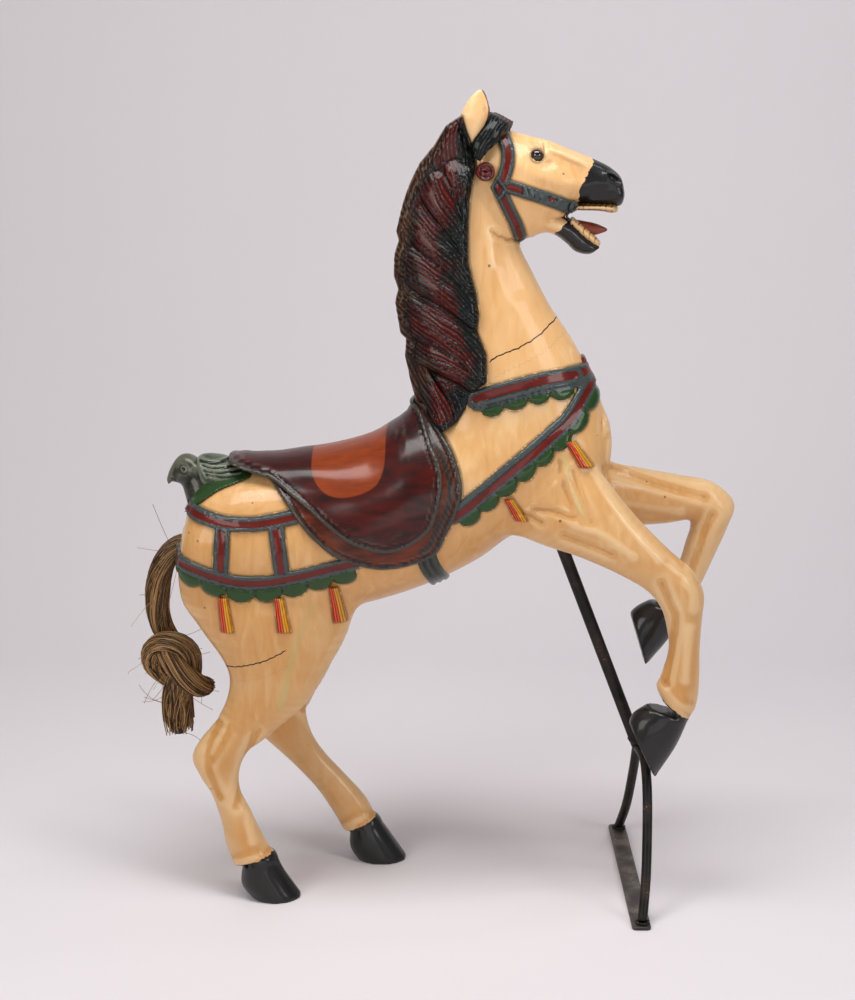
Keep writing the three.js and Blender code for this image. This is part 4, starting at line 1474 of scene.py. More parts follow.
SKIRT_EDGE = smooth_line(
    np.array(
        [(-340, 745), (-328, 726), (-312, 720), (-296, 714), (-278, 708), (-262, 698), (-246, 681), (-206, 631)]
        + [(-179, 605), (-153, 586), (-105, 570), (-66, 568), (-27, 577), (0, 592), (14, 622), (29, 653), (38, 686)]
        + [(36, 717), (24, 752), (8, 778), (-3, 795), (-14, 812), (-32, 822), (-60, 824), (-340, 800)],
        float,
    ),
    100,
)
SEAT_EDGE = smooth_line(
    np.array(
        [(-342, 735), (-330, 722), (-313, 716), (-297, 711), (-280, 707), (-262, 703), (-231, 683), (-201, 663)]
        + [(-171, 638), (-139, 615), (-104, 601), (-72, 598), (-40, 609), (-11, 633), (2, 666), (8, 706), (4, 736)]
        + [(-8, 762), (-18, 789), (-26, 806), (-38, 817), (-66, 820), (-342, 800)],
        float,
    ),
    90,
)
SEAT_PATCH = smooth_line(
    np.array(
        [(-198, 810), (-81, 810), (-81, 770), (-82, 735), (-86, 718), (-96, 701), (-120, 688), (-152, 682), (-174, 687)]
        + [(-188, 699), (-196, 714), (-198, 730), (-198, 770)],
        float,
    ),
    50,
)


@dataclass(frozen=True)
class Saddle:
    """A skirt with a double bead round its edge, the raised seat on it, and the girth under them."""

    grid: Grid = Grid((-350, -142, 556), (52, 142, 872), 3.3)
    girth_grid: Grid = Grid((-48, -132, 486), (40, 132, 612), 2.6)
    skirt_rise: float = 7.5
    seat_rise: float = 13.0
    bead: float = 1.7

    def beads(self, inward: np.ndarray) -> np.ndarray:
        """Two rounded ridges, 1.9 and 5.6 mm in from an edge, and a groove that parts them from the middle."""
        return self.bead * (bell(inward - 1.9, 1.4) + bell(inward - 5.6, 1.4)) - 1.4 * bell(inward - 8.6, 1.2)

    def build(self) -> None:
        """Makes and dresses the skirt, the seat and the girth."""
        wood = FORM.distance(self.grid)
        x, z = self.grid.plan
        skirt_in = -outside(x, z, SKIRT_EDGE)
        seat_in = -outside(x, z, SEAT_EDGE)
        front = ramp(x - 0 * z, -60, 0)
        ribs = 1.1 * front * (bell(skirt_in - 15, 1.8) + bell(skirt_in - 20.5, 1.8))
        skirt = self.skirt_rise * (0.5 + 0.5 * np.sqrt(np.clip(skirt_in / 2.5, 0, 1))) + self.beads(skirt_in) + ribs
        seat = self.seat_rise * (0.75 + 0.25 * np.sqrt(np.clip(seat_in / 3, 0, 1))) + self.beads(seat_in)
        seat += 2.0 * ramp(seat_in, 10, 60)
        crown = np.interp(x, [-342, -330, -312, -293, -256, -204, -145, -108, -53], [9, 15, 13, 9, 6.6, 5.4, 2.2, 0, 0])
        seat += crown * ramp(z + 0 * x, 690, 722)
        chestnut = SaddleVarnish("varnished_chestnut_skirt", "#6A2808", "#381204")
        oxblood = SaddleVarnish("varnished_oxblood_seat", "#4A0D06", "#240604")
        parts = (
            ("saddle_skirt", -skirt_in, skirt, SKIRT_EDGE, chestnut),
            ("saddle_seat", -seat_in, seat, SEAT_EDGE, oxblood),
        )
        for name, mask, height, edge, finish in parts:
            seated = name == "saddle_seat"
            volume = layer(wood, mask, height, -3.0 if seated else 3.0)
            points, quads = skin_of(volume, self.grid)
            inward = -outside(points[:, 0], points[:, 2], edge)
            ribbed = np.where(points[:, 0] > -30, bell(inward - 15, 2) + bell(inward - 20.5, 2) - 0.4, -1) * 2
            bead = 7.4 - inward if seated else np.maximum(7.4 - inward, ribbed)
            patch = -outside(points[:, 0], points[:, 2], SEAT_PATCH)
            thin = np.where(seated & (points[:, 1] < 20), patch, NONE_HERE)
            kept = {"bead": bead, "thin": thin, "cavity": hollows(volume, self.grid, points, 1)}
            dress(make_mesh(name, points, quads, kept), finish.material(), "saddle_paint", "carved_horse")
        self.build_girth()

    def build_girth(self) -> None:
        """Makes and dresses the girth, a broad strap with three ribs along it."""
        wood = FORM.distance(self.girth_grid)
        x, z = self.girth_grid.plan
        t = along_line(x, z, smooth_line(np.array([(-22, 625), (-14, 575), (4, 530), (16, 478)], float), 16))[0]
        height = 5.5 + 1.2 * np.cos(t * 2 * np.pi / 10.5)
        volume = layer(wood, np.abs(t) - 16, height)
        points, quads = skin_of(volume, self.girth_grid)
        finish = CarvedColour("varnished_girth_green", "#0E120D", "#1C2818", "#353C34")
        piece = make_mesh("saddle_girth", points, quads, {"cavity": hollows(volume, self.girth_grid, points, 1)})
        dress(piece, finish.material(), "saddle_paint", "carved_horse")


MANE_BACK = np.array(
    [(37, 1260), (30, 1256), (13, 1245), (-6, 1214), (-27, 1189), (-43, 1158), (-53, 1130), (-64, 1086), (-60, 1071)]
    + [(-67, 1049), (-68, 1017), (-61, 995), (-66, 976), (-58, 927), (-49, 918), (-51, 892), (-41, 846), (-34, 822)],
    float,
)
MANE_FRONT = np.array(
    [(-12, 793), (9, 779), (30, 793), (45, 816), (48, 832), (58, 845), (77, 858), (76, 901), (62, 935), (65, 960)]
    + [(60, 994), (48, 1040), (48, 1089), (49, 1132), (55, 1166), (58, 1190), (57, 1205), (51, 1219)]
    + [(42, 1240), (38, 1254)],
    float,
)
MANE_EDGE = np.vstack([MANE_BACK, MANE_FRONT])


@dataclass(frozen=True)
class Lock:
    """One big lock of the mane, from the crest to its tip, and its greatest half width."""

    line: tuple[tuple[float, float], ...]
    half: float


@dataclass(frozen=True)
class Mane:
    """Seven big locks that sweep from the crest forward and down over each other, gouged into fine ridges.

    Both sides carry the same locks. Behind the ears they meet in a rounded crest over the poll.
    """

    grid: Grid = Grid((-86, -114, 762), (94, 114, 1280), 2.4)
    locks: tuple[Lock, ...] = (
        Lock(((52, 1290), (38, 1254), (33, 1222), (38, 1185), (48, 1152), (54, 1106)), 31),
        Lock(((8, 1244), (-13, 1212), (-17, 1182), (2, 1139), (29, 1100), (50, 1062)), 27),
        Lock(((-34, 1176), (-49, 1150), (-44, 1118), (-12, 1079), (23, 1048), (52, 1014)), 30),
        Lock(((-62, 1100), (-66, 1072), (-52, 1048), (-15, 1021), (26, 995), (60, 960)), 33),
        Lock(((-66, 1020), (-66, 992), (-46, 966), (-5, 944), (36, 916), (72, 872)), 31),
        Lock(((-66, 946), (-54, 926), (-32, 910), (4, 895), (42, 876), (78, 846)), 25),
        Lock(((-52, 905), (-46, 884), (-32, 852), (-12, 821), (2, 798), (10, 770)), 27),
    )
    rise: float = 9.0
    swell: float = 14.0
    spacing: float = 6.8

    def hair(self, x: np.ndarray, z: np.ndarray) -> tuple[np.ndarray, np.ndarray]:
        """The height of the hair and the phase of its ridges, seen from the side.

        Across a lock, u runs from -1 to 1 and the height is a half ellipse that leans towards the lower edge.
        The lock's width is a sine along it, and the ridges keep their number, so they draw together at its ends.
        The highest lock shows at each point.

        Args:
            x: Coordinates.
            z: Coordinates that match x.

        Returns:
            The height over the hair's ground and the phase in radians.
        """
        best = np.full(np.broadcast_shapes(x.shape, z.shape), -50.0)
        phase = np.zeros(best.shape)
        for k, lock in enumerate(self.locks):
            t, along, length = along_line(x, z, smooth_line(np.array(lock.line, float), 26))
            width = 0.58 + 0.42 * np.sin(np.pi * np.clip(0.08 + 0.84 * along / length, 0, 1))
            u = t / (lock.half * width)
            bulge = np.sqrt(np.clip(1 - u * u, 0, 1)) * (1 - 0.42 * u) - 5 * np.clip(np.abs(u) - 1, 0, 9)
            height = self.swell * bulge * (0.55 + 0.45 * width)
            wins = height > best
            bend = 1.1 * np.sin(along * 0.045 + 2.1 * k) + 0.8 * np.sin(along * 0.11 + 5 * u)
            phase = np.where(wins, 2 * np.pi * u * lock.half / self.spacing + 1.7 * k + bend, phase)
            best = np.maximum(best, height)
        return np.maximum(best, -3), phase

    def build(self) -> None:
        """Makes and dresses the mane.

        The hair is a layer on the wood inside the mane's outline, thinned at the sides towards the poll. There
        the outline stands clear of the wood, and a core of the same outline with a rounded edge fills it.
        """
        wood = FORM.distance(self.grid)
        x, z = self.grid.plan
        hair, phase = self.hair(x, z)
        ridges = (1.5 + 0.9 * np.sin(phase * 0.37) + 0.6 * np.sin(phase * 0.23 + x * 0.05)) * (
            np.abs(np.sin(phase / 2)) ** 0.8 * 2 - 1.2
        )
        crest = np.column_stack([MANE_BACK[:, 0], np.zeros(len(MANE_BACK)), MANE_BACK[:, 1]])
        gap = np.clip(self.grid.sample(wood, crest) + 1.5, 5, 42)
        inner = ramp(x - np.interp(z, MANE_BACK[::-1, 1], MANE_BACK[::-1, 0]), 4, 42)
        rise = np.interp(z, MANE_BACK[::-1, 1], gap[::-1]) + 0 * x
        hair = rise * (1 - inner) + (self.rise + hair) * inner
        mask = outside(x, z, MANE_EDGE)
        edge = 0.4 + 0.6 * np.sqrt(np.clip(-mask / 9, 0, 1))
        tall = ((hair + ridges) * edge)[:, None, :]
        share = ramp(z, 1165, 1210)[:, None, :] * (1 - bell(self.grid.axis(1), 24))[None, :, None]
        volume = layer(wood, mask, tall + (np.minimum(tall, 5.0) - tall) * share)
        y = np.abs(self.grid.axis(1))[None, :, None]
        poll = np.hypot(np.maximum(mask + 14, 0)[:, None, :], np.maximum(y - 27, 0)) - 14
        volume = np.minimum(volume, poll - (ridges * 0.7 * edge)[:, None, :])
        points, quads = skin_of(volume, self.grid)
        back = np.interp(points[:, 2], MANE_BACK[::-1, 1], MANE_BACK[::-1, 0])
        front = np.interp(points[:, 2], MANE_FRONT[:, 1], MANE_FRONT[:, 0])
        kept = {
            "strand": self.hair(points[:, 0], points[:, 2])[1],
            "zone": np.clip((points[:, 0] - back) / np.maximum(front - back, 20), 0, 1),
            "cavity": hollows(volume, self.grid, points, 2),
        }
        dress(make_mesh("carved_mane", points, quads, kept), ManePaint().material(), "mane_paint", "carved_horse")


WING_EDGE = np.array(
    [(-298, 700), (-314, 694), (-336, 686), (-348, 681), (-362, 672), (-373, 664), (-389, 655), (-403, 641)]
    + [(-480, 634), (-480, 672), (-412, 680), (-384, 694), (-352, 710), (-290, 728)],
    float,
)
BIRD_NECK = (
    (-400, 632, -340, 648, 50),
    (-404, 652, -346, 668, 43),
    (-408, 668, -352, 686, 36),
    (-412, 682, -360, 702, 29),
    (-416, 694, -374, 716, 24),
)
BIRD_SKULL = (
    (-380, 716, -374, 688, 22),
    (-390, 725, -384, 686, 24),
    (-401, 729, -397, 684, 23),
    (-412, 727, -411, 682, 20),
    (-421, 719, -420, 682, 15),
    (-429, 706, -427, 683, 11),
    (-434, 694, -431, 680, 7),
    (-436, 686, -433, 677, 3.5),
)
WINGS = (
    (-390, 716, -380, 690, 20),
    (-380, 727, -372, 668, 34),
    (-362, 729, -356, 662, 41),
    (-338, 725, -334, 664, 44),
    (-318, 716, -312, 668, 44),
    (-300, 704, -292, 672, 42),
)


@dataclass(frozen=True)
class Cantle:
    """The carved bird behind the seat: hooked head and neck, folded wings, and the ground they rise from."""

    grid: Grid = Grid((-456, -92, 626), (-272, 92, 742), 2.0)
    feathers: tuple[Stroke, ...] = (
        Stroke(((-378, 721), (-355, 719), (-330, 722), (-296, 719)), 1.7, -1.8),
        Stroke(((-374, 715), (-352, 711), (-325, 714), (-292, 711)), 1.7, -1.8),
        Stroke(((-370, 708), (-345, 705), (-318, 707), (-290, 706)), 1.7, -1.8),
        Stroke(((-366, 702), (-340, 699), (-312, 701), (-292, 702)), 1.7, -1.6),
        Stroke(((-384, 722), (-376, 710), (-368, 698)), 2.4, 1.6),
    )

    def build(self) -> None:
        """Makes and dresses the three pieces."""
        wood = FORM.distance(self.grid)
        x, z = self.grid.plan
        y = np.abs(self.grid.axis(1))[None, :, None]
        ground = layer(near_wood(wood, 4), outside(x, z, WING_EDGE), 3.5 + 0 * (x + z))
        neck = Loft(BIRD_NECK, count=30, cap=6).distance(self.grid)
        head = blend(neck, Loft(BIRD_SKULL, count=36, cap=2).distance(self.grid), 10.0)
        socket = np.sqrt((x + 405) ** 2 + (z - 708) ** 2)[:, None, :]
        head = np.maximum(head, -(wood + 5)) - 1.3 * bell(socket - 3.8, 1.3) + 1.6 * bell(socket, 2.0)
        groove = np.abs(z - 690 + (x + 425) * 0.35)[:, None, :] * ramp(-x, 416, 424)[:, :, None]
        head = head + np.where(x[:, :, None] < -418, 1.0 * bell(groove, 1.2), 0)
        wing = np.maximum(Loft(WINGS, count=30, cap=4).distance(self.grid), -(wood + 5))
        wing = wing - carve(self.feathers, self.grid, Side.BOTH)[:, None, :] * ramp(y, 2, 8)
        pieces = (
            ("cantle_ground", ground, CarvedColour("varnished_leaf_green", "#0D1C07", "#17330C", "#2C4A20")),
            ("cantle_bird", head, CarvedColour("varnished_olive_bird", "#1B1C14", "#34362A", "#6A6A58")),
            ("cantle_wings", wing, CarvedColour("varnished_grey_green_wing", "#2A3226", "#47503F", "#78806C")),
        )
        for name, volume, finish in pieces:
            points, quads = skin_of(volume, self.grid)
            kept = {"cavity": hollows(volume, self.grid, points, 2)}
            dress(make_mesh(name, points, quads, kept), finish.material(), "scallop_paint", "carved_horse")


UPPER_TEETH = (
    (212, 1127, 212, 1116, 25),
    (250, 1127, 250, 1115, 27),
    (270, 1126, 270, 1112, 24),
    (280, 1124, 280, 1113, 14),
)
LOWER_TEETH = (
    (210, 1107, 204, 1094, 22),
    (232, 1090, 222, 1076, 21),
    (249, 1074, 242, 1062, 18),
    (256, 1066, 250, 1057, 10),
)
TONGUE = (
    (205, 1104, 203, 1088, 12),
    (230, 1100, 226, 1080, 13),
    (248, 1096, 244, 1077, 12),
    (261, 1091, 257, 1080, 8),
    (268, 1088, 266, 1083, 3),
)


@dataclass(frozen=True)
class HeadDress:
    """The bridle with its rosettes, the forelock, and the teeth and tongue."""

    mouth_grid: Grid = Grid((186, -34, 1044), (290, 34, 1132), 1.5)
    hair_grid: Grid = Grid((26, -70, 1178), (140, 70, 1276), 1.9)

    def build(self) -> None:
        """Makes and dresses the pieces on the head."""
        BRIDLE.build(TrappingPaint().material(), "strap_paint")
        self.build_rosettes()
        self.build_forelock()
        self.build_mouth()

    def build_rosettes(self) -> None:
        """A ringed boss with a slit, and a diamond keeper, on each side, all as one piece."""
        grid = Grid((50, -66, 1092), (232, 66, 1200), 1.8)
        wood = FORM.distance(grid)
        x, z = grid.plan
        r = np.hypot(x - 73, z - 1177)
        slit = bell(z - 1177, 1.6) * ramp(-np.abs(x - 73), -7, -5)
        boss = 11 + 3.0 * bell(r - 11.5, 2.2) + 2.5 * bell(r - 4, 3.2) - 3 * slit
        keeper = np.array([(91, 1173), (107, 1150), (93, 1130), (80, 1153)], float)
        away = outside(x, z, keeper)
        plate = 7.5 + 1.8 * bell(away + 2.5, 1.5) + 2.0 * ramp(-away, 5, 9)
        knot = np.hypot((x - 211), (z - 1121) * 0.8) - 8.5
        ring = np.abs(np.hypot(x - 208, z - 1107) - 6.0) - 2.2
        mask = np.minimum.reduce([r - 14.6, away, knot, ring])
        lump = 7 + 3 * np.sqrt(np.clip(1 - (knot + 8.5) ** 2 / 80, 0, 1))
        height = np.where(r < 14.6, boss, np.where(away < 0, plate, np.where(knot < 0, lump, 4.5)))
        volume = layer(wood, mask, height, 4.0)
        points, quads = skin_of(volume, grid)
        px, pz = points[:, 0], points[:, 2]
        kept = {
            "cavity": hollows(volume, grid, points, 1),
            "mid": np.where(np.hypot(px - 73, pz - 1177) < 17, 0.1, np.where(outside(px, pz, keeper) < -6.5, 0.1, 0.9)),
            "off": np.full(len(points), NONE_HERE),
            "lobe": np.full(len(points), 2.0),
            "tassel": np.full(len(points), NONE_NEAR),
            "tassel_u": np.zeros(len(points)),
        }
        piece = make_mesh("bridle_bosses", points, quads, kept)
        dress(piece, TrappingPaint(maroon="#7A100C").material(), "strap_paint", "carved_horse")

    def build_forelock(self) -> None:
        """The tuft between the ears and the lock in front of each ear, ridged along their length."""
        grid = self.hair_grid
        wood = FORM.distance(grid, details=False)
        x, z = grid.plan
        y = grid.axis(1)[None, :, None]
        line = smooth_line(np.array([(104, 1262), (90, 1250), (78, 1233), (66, 1212), (58, 1192)], float), 20)
        t, along, _ = along_line(x, z, line)
        ridged = 1.3 * np.abs(np.cos(t * 0.62 + 0.5 * np.sin(along * 0.13)))[:, None, :]
        locks = [Loft(LOCK_SECTIONS, side=side, count=30, cap=4).distance(grid) - ridged for side in (-1, 1)]
        lock = np.maximum(np.minimum(*locks), -(wood + 5))
        tuft = Loft(FORELOCK, count=24, cap=4).distance(grid) + 1.1 * np.cos(y * 1.25)
        volume = blend(lock, np.maximum(tuft, -(wood + 5)), 3.0)
        points, quads = skin_of(volume, grid)
        t, along, _ = along_line(points[:, 0], points[:, 2], line)
        side = np.abs(points[:, 1]) > 24
        kept = {
            "strand": np.where(side, t * 1.24 + np.sin(along * 0.13) + 1.57, points[:, 1] * 1.25 + 1.57),
            "zone": np.clip(1.05 - ramp(points[:, 0] + (points[:, 2] - 1240), 96, 124) * 0.6, 0, 1),
            "cavity": hollows(volume, grid, points, 2),
        }
        piece = make_mesh("carved_forelock", points, quads, kept)
        dress(piece, ManePaint("varnished_forelock_glaze").material(), "mane_paint", "carved_horse")

    def build_mouth(self) -> None:
        """The two rows of teeth, parted by gouged gaps, and the tongue."""
        grid = self.mouth_grid
        x = grid.axis(0)[:, None, None]
        y = np.abs(grid.axis(1))[None, :, None]
        arch = x + 0.35 * y
        gaps = 0.7 * bell((arch / 8.5 - np.floor(arch / 8.5) - 0.5) * 8.5, 0.6)
        rows = [Loft(s, count=20, cap=3).distance(grid) for s in (UPPER_TEETH, LOWER_TEETH)]
        teeth = np.minimum(*rows) + gaps
        tongue = Loft(TONGUE, count=20, cap=2).distance(grid) + 2.5 * bell(y, 3.0)
        ochre = CarvedColour("ochre_tooth_paint", "#9A6A38", "#C99A62", "#E6C394", 0.3, 0.45)
        dusty = CarvedColour("dusty_red_tongue_paint", "#4A1812", "#6E2A20", "#8A4636", 0.2, 0.5)
        for name, volume, finish in (("carved_teeth", teeth, ochre), ("carved_tongue", tongue, dusty)):
            points, quads = skin_of(volume, grid)
            kept = {"cavity": hollows(volume, grid, points, 1)}
            dress(make_mesh(name, points, quads, kept), finish.material(), "tooth_paint", "carved_horse")


@dataclass(frozen=True)
class GlassEyes:
    """A blown glass ball in each socket."""

    radius: float = EYE_RADIUS

    def build(self) -> None:
        """Makes and dresses both balls: rings of radius r sin u at heights r cos u."""
        finish = EyeGlass().material()
        u = np.linspace(0.06, np.pi - 0.06, 22)
        v = np.linspace(0, 2 * np.pi, 32, endpoint=False)
        ball = np.stack(
            [np.sin(u)[:, None] * np.cos(v), np.repeat(np.cos(u)[:, None], 32, 1), -np.sin(u)[:, None] * np.sin(v)], -1
        )
        for name, side in (("near", -1), ("far", 1)):
            rings = ball * self.radius + np.array([EYE[0], side * EYE[1], EYE[2]])
            points, quads = stacked(rings[::-1])
            piece = make_mesh(f"eye_ball_{name}", points, as_triangles(quads))
            dress(piece, finish, "eye_glass", f"glass_eye_{name}")


# ---------------------------------------------------------------------------
# Tail, stand and studio
# ---------------------------------------------------------------------------


@dataclass(frozen=True)
class Hank:
    """A twisted bundle of hair along a line of x, y, z and radius."""

    points: tuple[tuple[float, float, float, float], ...]
    hairs: int
    twist: float
    fray: float = 0.0


@dataclass(frozen=True)
class HairTail:
    """A tail of real horsehair, tied in an overhand knot, its end loose."""

    hanks: tuple[Hank, ...] = (
        Hank(
            ((-396, 0, 578, 11), (-414, 0, 582, 13), (-434, 0, 566, 16), (-449, 0, 538, 18), (-457, 0, 503, 19))
            + ((-458, 2, 468, 18), (-452, 6, 438, 17), (-440, 10, 414, 15)),
            300,
            2.0,
        ),
        Hank(
            ((-402, 4, 348, 11), (-401, -8, 374, 14), (-405, -16, 398, 17), (-420, -21, 414, 18), (-444, -19, 418, 18))
            + ((-464, -13, 406, 17), (-471, -5, 384, 15), (-462, 2, 364, 15), (-446, 4, 350, 14), (-430, 4, 342, 11)),
            240,
            2.4,
        ),
        Hank(
            ((-450, -10, 410, 13), (-440, -23, 396, 17), (-423, -28, 374, 19), (-404, -26, 354, 19))
            + ((-389, -17, 342, 17), (-381, -2, 338, 14), (-394, 8, 340, 12), (-414, 10, 346, 11)),
            240,
            1.8,
        ),
        Hank(
            ((-422, 0, 366, 15), (-428, -2, 344, 21), (-431, 0, 316, 22), (-430, 0, 286, 19), (-427, 0, 256, 12)),
            330,
            0.5,
            11.0,
        ),
    )
    steps: int = 22
    strays: int = 46

    def build(self) -> None:
        """Makes and dresses the core and the fibres of every hank, and the stray hairs."""
        draw = np.random.default_rng(11)
        cores, fibres = [], []
        for hank in self.hanks:
            line = smooth_line(np.array(hank.points, float), self.steps)
            path, radius = line[:, :3], line[:, 3]
            cores.append(tubes(path[None], radius[None] * 0.86, 14, (0.0, 1.0, 0.12)))
            tangent = np.gradient(path, axis=0)
            tangent /= np.linalg.norm(tangent, axis=1, keepdims=True)
            normal = np.cross(tangent, (0.0, 1.0, 0.12))
            normal /= np.linalg.norm(normal, axis=1, keepdims=True)
            partner = np.cross(tangent, normal)
            s = np.linspace(0, 1, self.steps)
            start = draw.uniform(0, 2 * np.pi, (hank.hairs, 1))
            depth = draw.uniform(0.80, 1.04, (hank.hairs, 1))
            wander = draw.normal(0, 0.22, (hank.hairs, 1)) * np.sin(s * 5 + start)
            angle = start + hank.twist * s + wander
            loose = hank.fray * s**2 * draw.uniform(-0.6, 1.2, (hank.hairs, 1))
            out = radius * depth + loose + draw.normal(0, 0.35, (hank.hairs, self.steps)).cumsum(1) * 0.25
            offset = np.cos(angle)[..., None] * normal + np.sin(angle)[..., None] * partner
            hair = path[None] + out[..., None] * offset
            if hank.fray:
                length = draw.uniform(0.72, 1.0, (hank.hairs, 1))
                sample = np.clip(s * length, 0, 1) * (self.steps - 1)
                low = np.minimum(sample.astype(int), self.steps - 2)
                share = (sample - low)[..., None]
                rows = np.arange(hank.hairs)[:, None]
                hair = hair[rows, low] * (1 - share) + hair[rows, low + 1] * share
            thick = draw.uniform(0.6, 1.2, (hank.hairs, 1)) * np.ones(self.steps)
            fibres.append((hair, thick))
        # The core under the fibres is near black: painted shade inside the hank, seen between the fibres.
        vertices, faces = self.joined(cores)
        core = make_mesh("tail_core", vertices, faces, {"hair": np.full(len(vertices), 0.1)})
        dress(core, HairColour("inner_horsehair_painted_shade", "#120B07", "#2A1B10").material(), "horsehair", "horsehair_tail")
        parts = [tubes(path, radii, 3, (0.11, 1.0, 0.12)) for path, radii in fibres]
        stray = self.stray_hairs(draw, fibres)
        parts.append(tubes(*stray, 3, (0.11, 1.0, 0.12)))
        vertices, faces = self.joined(parts)
        shades = [np.repeat(draw.beta(1.3, 1.6, len(p)), p.shape[1] * 3 + 2) for p, _ in [*fibres, stray]]
        piece = make_mesh("tail_hairs", vertices, faces, {"hair": np.concatenate(shades)})
        dress(piece, HairColour("mixed_horsehair", "#22140A", "#B58A58").material(), "horsehair", "horsehair_tail")

    @staticmethod
    def joined(parts: list[tuple[np.ndarray, np.ndarray]]) -> tuple[np.ndarray, np.ndarray]:
        """Several meshes as one."""
        shift = np.cumsum([0] + [len(v) for v, _ in parts[:-1]])
        return np.vstack([v for v, _ in parts]), np.vstack([f + s for (_, f), s in zip(parts, shift)])

    def stray_hairs(self, draw: np.random.Generator, fibres: list) -> tuple[np.ndarray, np.ndarray]:
        """Single hairs that leave the hanks' fibres: a way out, bent by a quadratic droop."""
        s = np.linspace(0, 1, 9)[None, :, None]
        ends = np.concatenate([hair[::12, k] for hair, _ in fibres for k in (5, 13, 21)])
        root = ends[draw.permutation(len(ends))[: self.strays]]
        way = np.stack(
            [draw.normal(mean, spread, self.strays) for mean, spread in ((-0.2, 0.8), (0, 0.35), (-0.3, 0.6))], 1
        )
        size = draw.uniform(14, 42, (self.strays, 1, 1))
        bend = draw.normal(0, 0.5, (self.strays, 1, 3)) * np.array([1, 0.4, 1])
        path = root[:, None] + size * (way[:, None] * s + bend * s**2)
        path[..., 0] = np.clip(path[..., 0], -505, None)
        return path, np.full(path.shape[:2], 0.42)


@dataclass(frozen=True)
class Stand:
    """A slanting round post let into the chest, a bent rod fork under it, and a flat foot, all welded."""

    post_foot: tuple[float, float] = (335.0, 232.0)
    post_head: tuple[float, float] = (176.0, 645.0)
    post_radius: float = 10.0
    rod_radius: float = 8.0
    half_fork: tuple[tuple[float, float, float], ...] = (
        (341, 42, 226),
        (342, 78, 198),
        (341, 106, 150),
        (336, 150, 70),
        (327, 190, 8),
    )
    fork_top: tuple[float, float, float] = (335, 0, 232)
    plate: tuple[float, float, float, float] = (325.0, 30.0, 412.0, 6.0)

    def build(self) -> None:
        """Makes and dresses the post, the fork, their welds and the foot."""
        steel = BarSteel("black_oxidised_bar", "#100E0D", "#2A2624", 0.0).material()
        foot = np.array([self.post_foot[0], 0, self.post_foot[1]])
        head = np.array([self.post_head[0], 0, self.post_head[1]])
        s = np.linspace(0, 1, 30)[:, None]
        path = foot + (head - foot) * s
        post = tubes(path[None], np.full((1, 30), self.post_radius), 32, (0.0, 1.0, 0.0))
        dress(make_mesh("round_post", *post), steel, "dark_steel", "stand_post")
        right = np.array(self.half_fork, float)
        left = right[::-1] * np.array([1, -1, 1])
        rod = smooth_line(np.vstack([left, [self.fork_top], right]), 120)
        fork = tubes(rod[None], np.full((1, 120), self.rod_radius), 24, (1.0, 0.02, 0.0))
        dress(make_mesh("bent_fork", *fork), steel, "dark_steel", "stand_fork")
        self.build_plate()
        self.build_welds()

    def build_plate(self) -> None:
        """The foot: rings of a rounded rectangle, drawn in at the top and bottom edges, closed in the middle."""
        x, width, length, thick = self.plate
        u = np.linspace(0, 2 * np.pi, 64, endpoint=False) + np.pi / 64
        quarter = np.floor(u / (np.pi / 2))
        turn = np.pi / 4 + quarter * np.pi / 2
        centre = np.stack([np.sign(np.cos(turn)) * (width / 2 - 7), np.sign(np.sin(turn)) * (length / 2 - 7)], 1)
        round_corner = np.stack([np.cos(u), np.sin(u)], 1)
        rings = []
        for drawn, z in ((6.5, 0), (0.8, 0), (0.0, 0.8), (0.0, thick - 1.0), (1.2, thick), (6.5, thick)):
            flat = centre + (7 - drawn) * round_corner
            rings.append(np.column_stack([flat[:, 0] + x, flat[:, 1], np.full(64, float(z))]))
        points, quads = stacked(np.array(rings))
        piece = make_mesh("flat_foot", points, as_triangles(quads))
        bevel = piece.modifiers.new("soft_edges", "BEVEL")
        bevel.width = 0.0003
        bevel.segments = 1
        plate = BarSteel("scuffed_flat_bar", "#3A3531", "#6B645C", 0.16).material()
        dress(piece, plate, "foot_plate_steel", "stand_foot_plate")

    def build_welds(self) -> None:
        """Ropy beads of weld round the rod's feet and where the post meets the rod.

        A bead is a ring of radius R about the joint, its own radius r (1 + 0.25 sin 9u), which gives the ripples.
        """
        u = np.linspace(0, 2 * np.pi, 64)
        beads = []
        for centre, radius, thick in (
            ((327.5, 190, 7.5), 9.0, 2.6),
            ((327.5, -190, 7.5), 9.0, 2.6),
            ((331, 0, 241), 10.5, 2.8),
        ):
            lean = 0.45 if centre[1] == 0 else 0.0
            ring = np.stack([np.cos(u), np.sin(u), -lean * np.cos(u)], 1) * radius + np.array(centre)
            beads.append(tubes(ring[None], (thick * (1 + 0.22 * np.sin(9 * u)))[None], 10, (0.05, 0.02, 1.0)))
        piece = make_mesh("weld_beads", *HairTail.joined(beads))
        finish = BarSteel("welded_steel_bead", "#14110F", "#3A332D", 0.05).material()
        dress(piece, finish, "dark_steel", "stand_fork")


